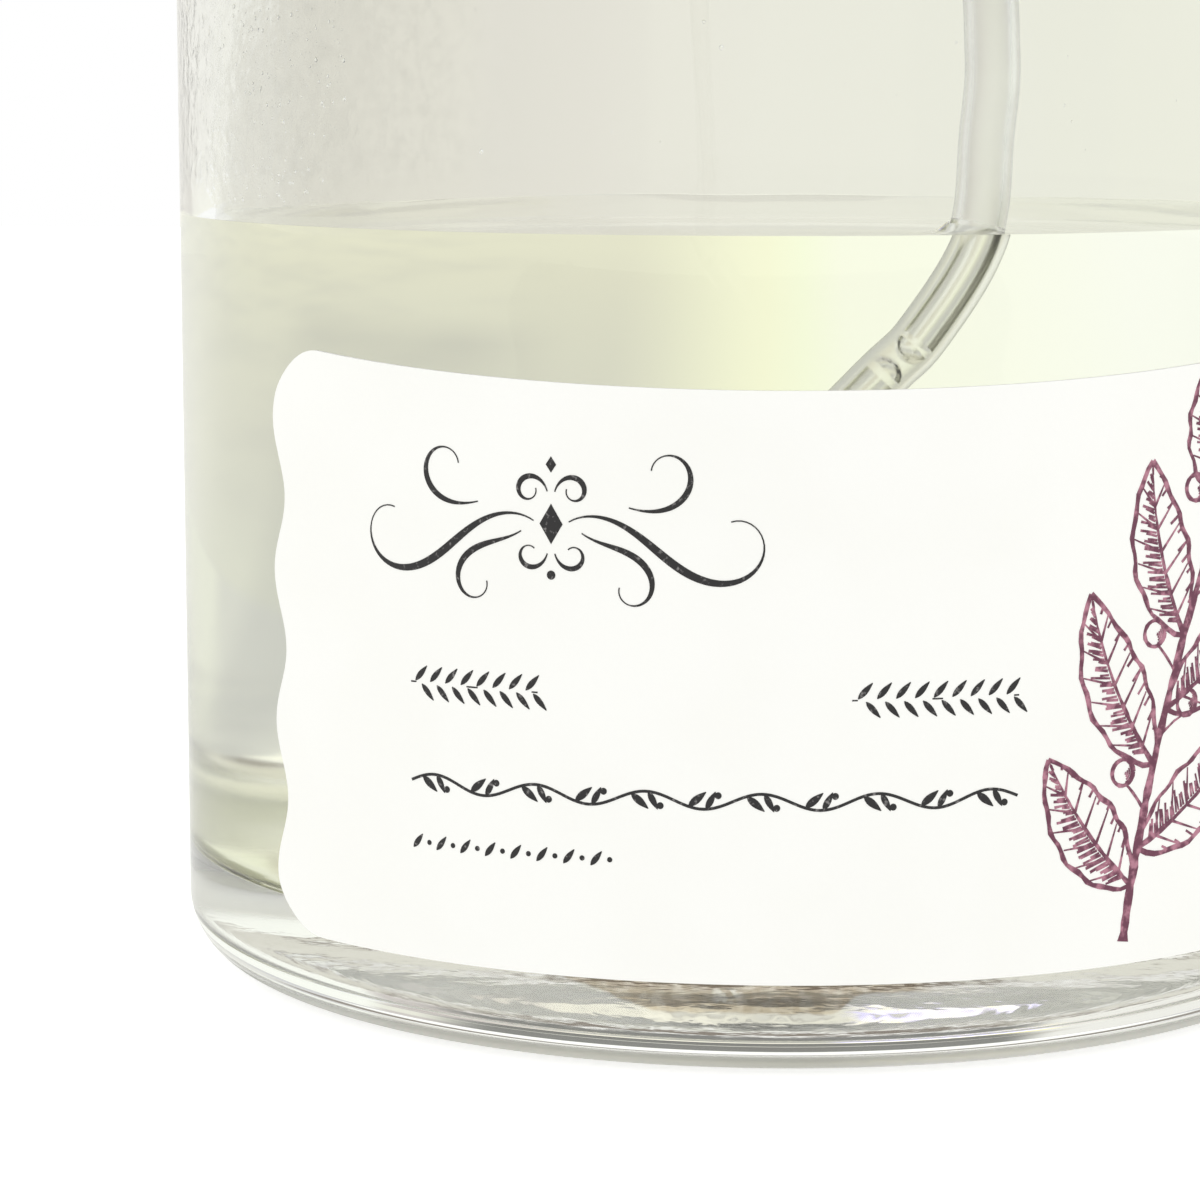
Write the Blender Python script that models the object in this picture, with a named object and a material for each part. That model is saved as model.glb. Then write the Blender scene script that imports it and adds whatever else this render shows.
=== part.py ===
"""A 100 ml perfume spray bottle: a round glass bottle with a heavy base, part filled, with a wavy-edged
label, a crimped spray pump with its dip tube, a press-and-turn spray button and a clear overcap.

Metres, +Z up. The origin is on the surface that the bottle stands on, under its axis. -Y is the front,
where the label and the spray nozzle face.
"""

import math

import bmesh
import bpy
from mathutils import Vector

MM = 0.001

# Glass bottle
BODY_RADIUS = 25.0 * MM
HEEL_RADIUS = 2.6 * MM
FOOT_INNER_RADIUS = 19.5 * MM
PUSH_UP_HEIGHT = 1.1 * MM
BASE_THICKNESS = 4.6 * MM
FLOOR_DOME = 0.25 * MM
WALL_THICKNESS = 1.6 * MM
UPPER_WALL_THICKNESS = 2.4 * MM
THIN_WALL_TOP = 34.0 * MM
THICK_WALL_START = 44.0 * MM
FLOOR_FILLET = 1.0 * MM
SHOULDER_HEIGHT = 76.0 * MM
SHOULDER_RADIUS = 6.0 * MM
SHOULDER_THICKNESS = 3.2 * MM
SHOULDER_RISE = 1.2 * MM
NECK_RADIUS = 6.4 * MM
NECK_FILLET = 1.8 * MM
NECK_BORE = 4.75 * MM
BEAD_RADIUS = 7.5 * MM
BEAD_BOTTOM = 80.4 * MM
NECK_TOP = 84.0 * MM
EDGE_ROUND = 0.5 * MM
EDGE_CHAMFER = 0.2 * MM

# Clearance between pieces that seat on each other
FIT = 0.3 * MM

# Perfume
LIQUID_LEVEL = 31.4 * MM

# Label, as an outline on the unrolled wall: u runs to the right of the front centre line, z is the height
LABEL_GAP = 0.3 * MM
LABEL_THICKNESS = 0.2 * MM
LABEL_CENTRE = 1.0 * MM
LABEL_HALF_WIDTH = 22.7 * MM
LABEL_BOTTOM = 3.8 * MM
LABEL_TOP = 25.85 * MM
LABEL_TOP_SAG = 2.2  # extra height of the top edge, per metre of u squared
LABEL_CORNER = 2.2 * MM
WAVE_HEIGHT = 0.38 * MM
WAVE_LENGTH = 5.95 * MM
WAVE_CREST = 18.0 * MM

# Dip tube
TUBE_RADIUS = 1.0 * MM
TUBE_BORE = 0.45 * MM
TUBE_ROUTE = [  # centre line in mm, from the pump down to the floor
    (0.0, 0.0, 63.0),
    (0.0, 0.0, 60.6),
    (0.1, -0.2, 58.6),
    (1.6, -3.2, 54.2),
    (5.2, -10.2, 48.2),
    (7.6, -16.2, 42.4),
    (8.0, -19.0, 38.0),
    (7.8, -19.7, 35.0),
    (7.4, -19.9, 31.2),
    (5.4, -20.5, 27.7),
    (3.6, -20.9, 25.8),
    (-2.0, -20.9, 19.8),
    (-8.2, -19.2, 13.4),
    (-13.0, -16.0, 8.2),
    (-14.2, -15.0, 6.9),
]
TUBE_POINT_COUNT = 48

# Spray pump
GASKET_THICKNESS = 1.0 * MM
FLANGE_RADIUS = 7.2 * MM
FLANGE_THICKNESS = 0.8 * MM
HOUSING_RADIUS = 4.3 * MM
CHAMBER_RADIUS = 3.3 * MM
SPRING_LEDGE = 68.0 * MM
CAGE_RADIUS = 1.6 * MM
CONE_TOP = 65.0 * MM
INLET_RADIUS = 0.7 * MM
SOCKET_TOP = 63.3 * MM
HOUSING_BOTTOM = 59.8 * MM
NIPPLE_RADIUS = 2.1 * MM
NIPPLE_TAPER = 0.2 * MM
HOUSING_FOOT_HEIGHT = 1.0 * MM
BALL_RADIUS = 1.2 * MM
SPRING_TURNS = 6
SPRING_RADIUS = 2.4 * MM
SPRING_WIRE = 0.28 * MM
STEM_RADIUS = 1.6 * MM
STEM_BORE = 0.6 * MM
STEM_BOTTOM = 77.4 * MM
STEM_FLANGE_RADIUS = 2.7 * MM
STEM_FLANGE_THICKNESS = 0.8 * MM
STEM_TOP = 98.5 * MM
PISTON_LENGTH = 3.8 * MM
PISTON_LIP = 1.0 * MM
PISTON_WAIST = 0.6 * MM

# Crimp ferrule, its insert and the collar that hides it
SHEET = 0.4 * MM
FERRULE_RADIUS = 8.2 * MM
FERRULE_CRIMP_RADIUS = 6.9 * MM
TURRET_RADIUS = 5.6 * MM
TURRET_TOP = 90.0 * MM
TURRET_HOLE = 2.3 * MM
COLLAR_RADIUS = 9.4 * MM
COLLAR_BORE = FERRULE_RADIUS + FIT
COLLAR_BOTTOM = 77.6 * MM
COLLAR_TOP = 92.6 * MM
COLLAR_LIP_RADIUS = 7.3 * MM
COLLAR_LIP_THICKNESS = 0.6 * MM

# Spray button: travel and sizes at rest
PRESS_TRAVEL = 4.0 * MM
BUTTON_RADIUS = 6.7 * MM
BUTTON_WALL = 0.35 * MM
BUTTON_TOP = 103.4 * MM
BUTTON_DISH = 0.5 * MM
BUTTON_EDGE = 0.6 * MM
NOZZLE_HEIGHT = 99.6 * MM
NOZZLE_RADIUS = 1.6 * MM
NOZZLE_LENGTH = 2.2 * MM
NOZZLE_ORIFICE = 0.25 * MM
NOZZLE_DIMPLE = 0.8 * MM
CHANNEL_RADIUS = 0.4 * MM
CHANNEL_CHAMBER = 1.0 * MM

# Clear overcap
CAP_RADIUS = 14.0 * MM
CAP_BOTTOM = 77.4 * MM
CAP_TOP = 113.4 * MM
CAP_BORE = COLLAR_RADIUS + FIT
CAP_CEILING = 108.8 * MM
CAP_EDGE = 1.0 * MM
CAP_RIM_CHAMFER = 0.6 * MM

# Steps round a full turn
BODY_STEPS = 48
SMALL_STEPS = 24
TUBE_SIDES = 8
ARC_STEPS = 4
LABEL_COLUMNS = 20
LABEL_ROWS = 18


def clear_scene():
    for obj in list(bpy.data.objects):
        bpy.data.objects.remove(obj)


def material(name, colour, roughness, metallic=0.0, transmission=0.0, ior=1.45):
    made = bpy.data.materials.new(name)
    made.use_nodes = True
    shader = made.node_tree.nodes["Principled BSDF"]
    shader.inputs["Base Color"].default_value = (*colour, 1.0)
    shader.inputs["Roughness"].default_value = roughness
    shader.inputs["Metallic"].default_value = metallic
    shader.inputs["Transmission Weight"].default_value = transmission
    shader.inputs["IOR"].default_value = ior
    return made


def add_object(name, bm, finish, smooth_angle=35.0):
    """A mesh object from a closed bmesh, with its faces turned outwards and its round sides shaded smooth."""
    bmesh.ops.recalc_face_normals(bm, faces=bm.faces)
    mesh = bpy.data.meshes.new(name)
    bm.to_mesh(mesh)
    bm.free()
    mesh.shade_smooth()
    mesh.set_sharp_from_angle(angle=math.radians(smooth_angle))
    mesh.materials.append(finish)
    obj = bpy.data.objects.new(name, mesh)
    bpy.context.scene.collection.objects.link(obj)
    return obj


def arc(centre_r, centre_z, radius, start, end, steps=ARC_STEPS):
    """Points of an arc in the radius-height plane. Angles are in degrees, 0 outwards and 90 upwards."""
    points = []
    for i in range(steps + 1):
        angle = math.radians(start + (end - start) * i / steps)
        points.append((centre_r + radius * math.cos(angle), centre_z + radius * math.sin(angle)))
    return points


def turned_mesh(outline, steps, closed=False):
    """A solid of revolution about Z. The outline is (radius, height) points; an open one ends on the axis."""
    bm = bmesh.new()
    verts = [bm.verts.new((r, 0.0, z)) for r, z in outline]
    pairs = list(zip(verts, verts[1:]))
    if closed:
        pairs.append((verts[-1], verts[0]))
    edges = [bm.edges.new(pair) for pair in pairs]
    bmesh.ops.spin(
        bm, geom=verts + edges, cent=(0, 0, 0), axis=(0, 0, 1), angle=math.tau, steps=steps, use_merge=True
    )
    bmesh.ops.remove_doubles(bm, verts=bm.verts, dist=0.01 * MM)
    return bm


def turned(name, outline, finish, steps=SMALL_STEPS, closed=False):
    return add_object(name, turned_mesh(outline, steps, closed), finish)


def smooth_route(points, count):
    """Evenly spaced points on a Catmull-Rom curve through the route's own points."""
    knots = [Vector(p) for p in points]
    knots = [2 * knots[0] - knots[1]] + knots + [2 * knots[-1] - knots[-2]]
    fine = []
    for a, b, c, d in zip(knots, knots[1:], knots[2:], knots[3:]):
        for i in range(24):
            t = i / 24
            bend = (2 * a - 5 * b + 4 * c - d) * t**2 + (3 * b - 3 * c + d - a) * t**3
            fine.append(b + 0.5 * ((c - a) * t + bend))
    fine.append(knots[-2])
    travelled = [0.0]
    for p, q in zip(fine, fine[1:]):
        travelled.append(travelled[-1] + (q - p).length)
    even, at = [], 0
    for i in range(count):
        target = travelled[-1] * i / (count - 1)
        while at < len(fine) - 2 and travelled[at + 1] < target:
            at += 1
        share = (target - travelled[at]) / (travelled[at + 1] - travelled[at])
        even.append(fine[at].lerp(fine[at + 1], min(share, 1.0)))
    return even


def rings_along(bm, path, radius, sides):
    """Rings of vertices square to the path, each turned as little as possible from the last."""
    rings = []
    side = None
    for i, point in enumerate(path):
        along = (path[min(i + 1, len(path) - 1)] - path[max(i - 1, 0)]).normalized()
        side = along.orthogonal() if side is None else side - side.dot(along) * along
        side.normalize()
        other = along.cross(side)
        ring = []
        for k in range(sides):
            angle = math.tau * k / sides
            ring.append(bm.verts.new(point + radius * (math.cos(angle) * side + math.sin(angle) * other)))
        rings.append(ring)
    return rings


def skin(bm, lower, upper):
    """Faces between two rings of the same length."""
    for k in range(len(lower)):
        following = (k + 1) % len(lower)
        bm.faces.new((lower[k], lower[following], upper[following], upper[k]))


def swept_mesh(path, radius, bore=0.0, sides=TUBE_SIDES):
    """A rod along the path, or a tube where a bore is given, with flat ends."""
    bm = bmesh.new()
    outer = rings_along(bm, path, radius, sides)
    for lower, upper in zip(outer, outer[1:]):
        skin(bm, lower, upper)
    if not bore:
        bm.faces.new(outer[0])
        bm.faces.new(outer[-1])
        return bm
    inner = rings_along(bm, path, bore, sides)
    for lower, upper in zip(inner, inner[1:]):
        skin(bm, lower, upper)
    skin(bm, outer[0], inner[0])
    skin(bm, outer[-1], inner[-1])
    return bm


def cut(obj, bm, name):
    """Cuts the closed shape in bm out of obj and leaves the Boolean applied."""
    cutter = add_object(name, bm, obj.data.materials[0])
    modifier = obj.modifiers.new(name, "BOOLEAN")
    modifier.operation = "DIFFERENCE"
    modifier.solver = "EXACT"
    modifier.object = cutter
    graph = bpy.context.evaluated_depsgraph_get()
    mesh = bpy.data.meshes.new_from_object(obj.evaluated_get(graph))
    obj.modifiers.clear()
    obj.data = mesh
    bpy.data.objects.remove(cutter)


def rod_along_y(radius, start, end, height, sides=SMALL_STEPS):
    """A closed cylinder from y = start to y = end at one height on the front centre line."""
    return swept_mesh([Vector((0, start, height)), Vector((0, end, height))], radius, sides=sides)


def outer_glass_profile():
    """From the middle of the underside out to the lip of the neck."""
    foot = BODY_RADIUS - HEEL_RADIUS
    top_of_rise = SHOULDER_HEIGHT + SHOULDER_RISE
    return [
        (0.0, PUSH_UP_HEIGHT),
        (FOOT_INNER_RADIUS * 0.55, PUSH_UP_HEIGHT * 0.85),
        (FOOT_INNER_RADIUS * 0.9, PUSH_UP_HEIGHT * 0.3),
        (FOOT_INNER_RADIUS, 0.0),
        *arc(foot, HEEL_RADIUS, HEEL_RADIUS, -90, 0),
        *arc(BODY_RADIUS - SHOULDER_RADIUS, SHOULDER_HEIGHT - SHOULDER_RADIUS, SHOULDER_RADIUS, 0, 84, 6),
        *arc(NECK_RADIUS + NECK_FILLET, top_of_rise + NECK_FILLET, NECK_FILLET, 266, 180),
        (NECK_RADIUS, BEAD_BOTTOM),
        *arc(BEAD_RADIUS - EDGE_ROUND, BEAD_BOTTOM + EDGE_ROUND, EDGE_ROUND, -90, 0, 2),
        *arc(BEAD_RADIUS - EDGE_ROUND, NECK_TOP - EDGE_ROUND, EDGE_ROUND, 0, 90, 2),
    ]


def inner_glass_profile(inset=0.0):
    """From the mouth down to the middle of the floor, moved inwards by the inset."""
    lower = BODY_RADIUS - WALL_THICKNESS - inset
    upper = BODY_RADIUS - UPPER_WALL_THICKNESS - inset
    ceiling = SHOULDER_HEIGHT - SHOULDER_THICKNESS - inset
    floor = BASE_THICKNESS + inset
    shoulder = SHOULDER_RADIUS - UPPER_WALL_THICKNESS * 0.6
    return [
        (NECK_BORE, NECK_TOP),
        (NECK_BORE, ceiling + SHOULDER_RISE + NECK_FILLET),
        (NECK_BORE + NECK_FILLET, ceiling + SHOULDER_RISE),
        *arc(upper - shoulder, ceiling - shoulder, shoulder, 84, 0),
        (upper, THICK_WALL_START),
        (lower, THIN_WALL_TOP),
        *arc(lower - FLOOR_FILLET, floor + FLOOR_FILLET, FLOOR_FILLET, 0, -90),
        (0.0, floor + FLOOR_DOME),
    ]


def make_glass_bottle(finish):
    turned("glass_bottle", outer_glass_profile() + inner_glass_profile(), finish, BODY_STEPS)


def make_perfume(finish):
    """The liquid stands clear of the glass all round, with a plain hole that the dip tube stands in."""
    inside = [p for p in inner_glass_profile(FIT) if p[1] < LIQUID_LEVEL]
    outline = [(0.0, LIQUID_LEVEL), (inside[0][0], LIQUID_LEVEL), *inside]
    perfume = turned("perfume", outline, finish, BODY_STEPS)
    end = dip_tube_path()[-1]
    along = (end - dip_tube_path()[-2]).normalized()
    cut(perfume, swept_mesh(dip_tube_path() + [end + along * FIT], TUBE_RADIUS + FIT), "tube_hole")


def label_half_width(z):
    """Half the label's width at a height: waved, with a rounded corner at the top and at the bottom."""
    wave = WAVE_HEIGHT * math.cos(math.tau * (z - WAVE_CREST) / WAVE_LENGTH)
    to_edge = min(z - LABEL_BOTTOM, LABEL_TOP + LABEL_TOP_SAG * LABEL_HALF_WIDTH**2 - z)
    rounding = 0.0
    if to_edge < LABEL_CORNER:
        rounding = LABEL_CORNER - math.sqrt(max(0.0, LABEL_CORNER**2 - (LABEL_CORNER - to_edge) ** 2))
    return LABEL_HALF_WIDTH + wave - rounding


def label_rows():
    """Rows of (u, z) points that fill the label, with shorter steps in the rounded corners."""
    corner_top = LABEL_TOP + LABEL_TOP_SAG * LABEL_HALF_WIDTH**2
    heights = [LABEL_BOTTOM + LABEL_CORNER * (1 - math.cos(math.radians(a))) for a in (0, 25, 50, 70)]
    tops = [corner_top - (z - LABEL_BOTTOM) for z in reversed(heights)]
    straight = corner_top - LABEL_BOTTOM - 2 * LABEL_CORNER
    for i in range(LABEL_ROWS + 1):
        heights.append(LABEL_BOTTOM + LABEL_CORNER + straight * i / LABEL_ROWS)
    rows = []
    for height in heights + tops:
        share = (height - LABEL_BOTTOM) / (corner_top - LABEL_BOTTOM)
        half = label_half_width(height)
        row = []
        for i in range(LABEL_COLUMNS + 1):
            u = LABEL_CENTRE + half * (2 * i / LABEL_COLUMNS - 1)
            top_here = LABEL_TOP + LABEL_TOP_SAG * (u - LABEL_CENTRE) ** 2
            row.append((u, LABEL_BOTTOM + share * (top_here - LABEL_BOTTOM)))
        rows.append(row)
    return rows


def on_wall(u, z, distance):
    """A point of the unrolled wall, at a distance outside the glass."""
    angle = u / BODY_RADIUS
    radius = BODY_RADIUS + distance
    return (radius * math.sin(angle), -radius * math.cos(angle), z)


def make_label(finish):
    """A paper label bent round the wall: an inner and an outer sheet of quads, joined along the cut edge."""
    bm = bmesh.new()
    sheets = []
    for distance in (LABEL_GAP, LABEL_GAP + LABEL_THICKNESS):
        sheet = [[bm.verts.new(on_wall(u, z, distance)) for u, z in row] for row in label_rows()]
        for low, high in zip(sheet, sheet[1:]):
            for i in range(len(low) - 1):
                bm.faces.new((low[i], low[i + 1], high[i + 1], high[i]))
        edge = sheet[0][:-1] + [row[-1] for row in sheet[:-1]] + sheet[-1][:0:-1]
        sheets.append(edge + [row[0] for row in sheet[:0:-1]])
    skin(bm, *sheets)
    add_object("front_label", bm, finish)


def dip_tube_path():
    return smooth_route([tuple(c * MM for c in p) for p in TUBE_ROUTE], TUBE_POINT_COUNT)


def make_dip_tube(finish):
    add_object("dip_tube", swept_mesh(dip_tube_path(), TUBE_RADIUS, TUBE_BORE), finish)


def gasket_top():
    return NECK_TOP + FIT + GASKET_THICKNESS


def flange_top():
    return gasket_top() + FIT + FLANGE_THICKNESS


def ring_outline(inner, outer, bottom, top):
    return [(inner, bottom), (outer, bottom), (outer, top), (inner, top)]


def make_neck_gasket(finish):
    outline = ring_outline(NECK_BORE + FIT, FLANGE_RADIUS, NECK_TOP + FIT, gasket_top())
    turned("neck_gasket", outline, finish, closed=True)


def make_pump_housing(finish):
    """A stepped cylinder, hung from the neck by its flange: chamber, ball cage, inlet cone, tube socket."""
    under_flange = flange_top() - FLANGE_THICKNESS
    cone_bottom = CONE_TOP - (CAGE_RADIUS - INLET_RADIUS)
    outline = [
        (FLANGE_RADIUS, under_flange),
        (FLANGE_RADIUS, flange_top()),
        (CHAMBER_RADIUS, flange_top()),
        (CHAMBER_RADIUS, SPRING_LEDGE),
        (CAGE_RADIUS, SPRING_LEDGE),
        (CAGE_RADIUS, CONE_TOP),
        (INLET_RADIUS, cone_bottom),
        (INLET_RADIUS, SOCKET_TOP),
        (TUBE_RADIUS + FIT, SOCKET_TOP),
        (TUBE_RADIUS + FIT, HOUSING_BOTTOM),
        (NIPPLE_RADIUS, HOUSING_BOTTOM),
        (NIPPLE_RADIUS + NIPPLE_TAPER, CONE_TOP - EDGE_ROUND),
        (HOUSING_RADIUS - EDGE_ROUND, SPRING_LEDGE - HOUSING_FOOT_HEIGHT - EDGE_ROUND),
        (HOUSING_RADIUS, SPRING_LEDGE - HOUSING_FOOT_HEIGHT),
        (HOUSING_RADIUS, under_flange),
    ]
    turned("pump_housing", outline, finish, closed=True)


def make_inlet_ball(finish):
    """A steel ball that rests on the cone above the inlet."""
    cone_apex = CONE_TOP - CAGE_RADIUS
    centre = cone_apex + (BALL_RADIUS + FIT) * math.sqrt(2)
    bm = bmesh.new()
    bmesh.ops.create_icosphere(bm, subdivisions=2, radius=BALL_RADIUS)
    bmesh.ops.translate(bm, verts=bm.verts, vec=(0, 0, centre))
    add_object("inlet_ball", bm, finish, smooth_angle=60.0)


def make_return_spring(finish):
    bottom = SPRING_LEDGE + FIT + SPRING_WIRE
    top = STEM_BOTTOM - FIT - SPRING_WIRE
    per_turn = 12
    path = []
    for i in range(SPRING_TURNS * per_turn + 1):
        angle = math.tau * i / per_turn
        height = bottom + (top - bottom) * i / (SPRING_TURNS * per_turn)
        path.append(Vector((SPRING_RADIUS * math.cos(angle), SPRING_RADIUS * math.sin(angle), height)))
    add_object("return_spring", swept_mesh(path, SPRING_WIRE, sides=6), finish)


def make_pump_stem(finish):
    """The hollow rod that carries the piston and the button, with a flange that the spring pushes up."""
    shoulder = STEM_BOTTOM + STEM_FLANGE_THICKNESS
    outline = [
        (STEM_BORE, STEM_BOTTOM),
        (STEM_FLANGE_RADIUS, STEM_BOTTOM),
        (STEM_FLANGE_RADIUS, shoulder),
        (STEM_RADIUS, shoulder),
        (STEM_RADIUS, STEM_TOP),
        (STEM_BORE, STEM_TOP),
    ]
    turned("pump_stem", outline, finish, closed=True)


def piston_bottom():
    return STEM_BOTTOM + STEM_FLANGE_THICKNESS + FIT


def make_piston(finish):
    """A ring on the stem, waisted so that only its two lips run on the chamber wall."""
    bottom = piston_bottom()
    top = bottom + PISTON_LENGTH
    inner = STEM_RADIUS + FIT
    lip = CHAMBER_RADIUS - FIT
    waist = lip - PISTON_WAIST
    outline = [
        (inner, bottom),
        (lip, bottom),
        (waist, bottom + PISTON_LIP),
        (waist, top - PISTON_LIP),
        (lip, top),
        (inner, top),
    ]
    turned("piston", outline, finish, closed=True)


def make_closure_insert(finish):
    """The plastic guide that closes the pump chamber, stops the piston and steadies the stem."""
    seat = flange_top() + FIT
    bottom = piston_bottom() + PISTON_LENGTH + FIT
    outline = [
        (STEM_RADIUS + FIT, bottom),
        (CHAMBER_RADIUS - FIT, bottom),
        (CHAMBER_RADIUS - FIT, seat),
        (TURRET_RADIUS - SHEET - FIT, seat),
        (TURRET_RADIUS - SHEET - FIT, TURRET_TOP - SHEET - FIT),
        (STEM_RADIUS + FIT, TURRET_TOP - SHEET - FIT),
    ]
    turned("closure_insert", outline, finish, closed=True)


def make_crimp_ferrule(finish):
    """A drawn aluminium cup: its skirt is rolled in under the glass bead, and its turret holds the insert."""
    deck = flange_top() + FIT
    crimp_top = BEAD_BOTTOM - FIT
    outline = [
        (FERRULE_CRIMP_RADIUS, crimp_top - SHEET),
        (FERRULE_RADIUS - EDGE_ROUND, crimp_top - SHEET),
        (FERRULE_RADIUS, crimp_top),
        (FERRULE_RADIUS, deck + SHEET - EDGE_CHAMFER),
        (FERRULE_RADIUS - EDGE_CHAMFER, deck + SHEET),
        (TURRET_RADIUS, deck + SHEET),
        (TURRET_RADIUS, TURRET_TOP - EDGE_CHAMFER),
        (TURRET_RADIUS - EDGE_CHAMFER, TURRET_TOP),
        (TURRET_HOLE, TURRET_TOP),
        (TURRET_HOLE, TURRET_TOP - SHEET),
        (TURRET_RADIUS - SHEET, TURRET_TOP - SHEET),
        (TURRET_RADIUS - SHEET, deck),
        (FERRULE_RADIUS - SHEET, deck),
        (FERRULE_RADIUS - SHEET, crimp_top),
        (FERRULE_CRIMP_RADIUS, crimp_top),
    ]
    turned("crimp_ferrule", outline, finish, SMALL_STEPS + 8, closed=True)


def make_collar(finish):
    """The bright sleeve pushed over the ferrule, with a lip round the button."""
    outline = [
        (COLLAR_BORE, COLLAR_BOTTOM),
        (COLLAR_RADIUS, COLLAR_BOTTOM),
        *arc(COLLAR_RADIUS - EDGE_ROUND, COLLAR_TOP - EDGE_ROUND, EDGE_ROUND, 0, 90, 3),
        (COLLAR_LIP_RADIUS, COLLAR_TOP),
        (COLLAR_LIP_RADIUS, COLLAR_TOP - COLLAR_LIP_THICKNESS),
        (COLLAR_BORE, COLLAR_TOP - COLLAR_LIP_THICKNESS),
    ]
    turned("collar", outline, finish, SMALL_STEPS + 8, closed=True)


def button_bottom():
    """The height that leaves the full travel above the ferrule's deck."""
    return flange_top() + FIT + SHEET + FIT + PRESS_TRAVEL


def core_bottom():
    return TURRET_TOP + PRESS_TRAVEL + 2 * FIT


def make_button_sleeve(finish):
    """A thin metal thimble with a dished top and a round window for the nozzle."""
    inside = BUTTON_RADIUS - BUTTON_WALL
    dish_radius = BUTTON_RADIUS * 0.55
    dish_top = BUTTON_TOP - BUTTON_DISH * 0.8
    outline = [
        (0.0, BUTTON_TOP - BUTTON_DISH - BUTTON_WALL),
        (dish_radius, dish_top - BUTTON_WALL),
        (inside, BUTTON_TOP - BUTTON_EDGE),
        (inside, button_bottom()),
        (BUTTON_RADIUS, button_bottom()),
        *arc(BUTTON_RADIUS - BUTTON_EDGE, BUTTON_TOP - BUTTON_EDGE, BUTTON_EDGE, 0, 90, 3),
        (dish_radius, dish_top),
        (0.0, BUTTON_TOP - BUTTON_DISH),
    ]
    sleeve = turned("button_sleeve", outline, finish, SMALL_STEPS + 8)
    window = rod_along_y(NOZZLE_RADIUS + FIT, -2 * BUTTON_RADIUS, -BUTTON_RADIUS / 2, NOZZLE_HEIGHT)
    cut(sleeve, window, "window")


def make_button_core(finish):
    """The moulded plug inside the sleeve: a socket for the stem, and a channel from its top to the nozzle."""
    radius = BUTTON_RADIUS - BUTTON_WALL - FIT
    top = BUTTON_TOP - BUTTON_DISH - BUTTON_WALL - FIT
    outline = [
        (0.0, NOZZLE_HEIGHT + EDGE_ROUND),
        (CHANNEL_CHAMBER, NOZZLE_HEIGHT + EDGE_ROUND),
        (CHANNEL_CHAMBER, STEM_TOP + FIT),
        (STEM_RADIUS + FIT, STEM_TOP + FIT),
        (STEM_RADIUS + FIT, core_bottom()),
        (radius, core_bottom()),
        (radius, top - EDGE_ROUND),
        (radius - EDGE_ROUND, top),
        (0.0, top),
    ]
    core = turned("button_core", outline, finish)
    recess = -(BUTTON_RADIUS - NOZZLE_LENGTH - FIT)
    cut(core, rod_along_y(NOZZLE_RADIUS + FIT, -2 * BUTTON_RADIUS, recess, NOZZLE_HEIGHT), "nozzle_recess")
    cut(core, rod_along_y(CHANNEL_RADIUS, recess - FIT, 0.0, NOZZLE_HEIGHT, sides=12), "spray_channel")


def make_nozzle_insert(finish):
    """The pressed-in disc with the spray orifice in a shallow dimple, turned about Z, then laid forward."""
    outline = [
        (NOZZLE_ORIFICE, 0.0),
        (NOZZLE_RADIUS, 0.0),
        (NOZZLE_RADIUS, NOZZLE_LENGTH - EDGE_CHAMFER),
        (NOZZLE_RADIUS - EDGE_CHAMFER, NOZZLE_LENGTH),
        (NOZZLE_DIMPLE, NOZZLE_LENGTH),
        (NOZZLE_ORIFICE, NOZZLE_LENGTH - 2 * EDGE_CHAMFER),
    ]
    nozzle = turned("nozzle_insert", outline, finish, 20, closed=True)
    nozzle.rotation_euler = (math.radians(90), 0, 0)
    nozzle.location = (0, -(BUTTON_RADIUS - NOZZLE_LENGTH), NOZZLE_HEIGHT)


def make_overcap(finish):
    """A thick clear cap that pushes over the collar and stands just above the shoulder."""
    outline = [
        (0.0, CAP_CEILING),
        *arc(CAP_BORE - CAP_EDGE, CAP_CEILING - CAP_EDGE, CAP_EDGE, 90, 0, 3),
        (CAP_BORE, CAP_BOTTOM),
        (CAP_RADIUS - CAP_RIM_CHAMFER, CAP_BOTTOM),
        (CAP_RADIUS, CAP_BOTTOM + CAP_RIM_CHAMFER),
        *arc(CAP_RADIUS - CAP_EDGE, CAP_TOP - CAP_EDGE, CAP_EDGE, 0, 90, 3),
        (0.0, CAP_TOP),
    ]
    turned("overcap", outline, finish, SMALL_STEPS + 16)


def main():
    clear_scene()
    glass = material("flint_glass", (0.97, 0.98, 0.96), 0.02, transmission=1.0, ior=1.5)
    clear_plastic = material("clear_acrylic", (0.98, 0.98, 0.98), 0.03, transmission=1.0, ior=1.49)
    perfume = material("pale_yellow_perfume", (0.96, 0.96, 0.78), 0.0, transmission=1.0, ior=1.36)
    paper = material("white_label_paper", (0.95, 0.95, 0.93), 0.6)
    tube_plastic = material("translucent_tube", (0.93, 0.93, 0.9), 0.2, transmission=0.8)
    white_plastic = material("white_moulding", (0.88, 0.88, 0.86), 0.4)
    aluminium = material("satin_aluminium", (0.78, 0.78, 0.79), 0.28, metallic=1.0)
    steel = material("stainless_steel", (0.6, 0.6, 0.6), 0.25, metallic=1.0)
    rubber = material("grey_gasket", (0.35, 0.35, 0.35), 0.7)

    make_glass_bottle(glass)
    make_perfume(perfume)
    make_label(paper)
    make_dip_tube(tube_plastic)
    make_neck_gasket(rubber)
    make_pump_housing(tube_plastic)
    make_inlet_ball(steel)
    make_return_spring(steel)
    make_pump_stem(white_plastic)
    make_piston(white_plastic)
    make_closure_insert(white_plastic)
    make_crimp_ferrule(aluminium)
    make_collar(aluminium)
    make_button_sleeve(aluminium)
    make_button_core(white_plastic)
    make_nozzle_insert(white_plastic)
    make_overcap(clear_plastic)


main()
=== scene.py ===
"""Perfume spray bottle: the looks. Metres, +Z up, the bottle's axis on Z and its front facing -Y."""

import math
import random

import bmesh
import bpy
from mathutils import Matrix, Vector, noise


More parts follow.
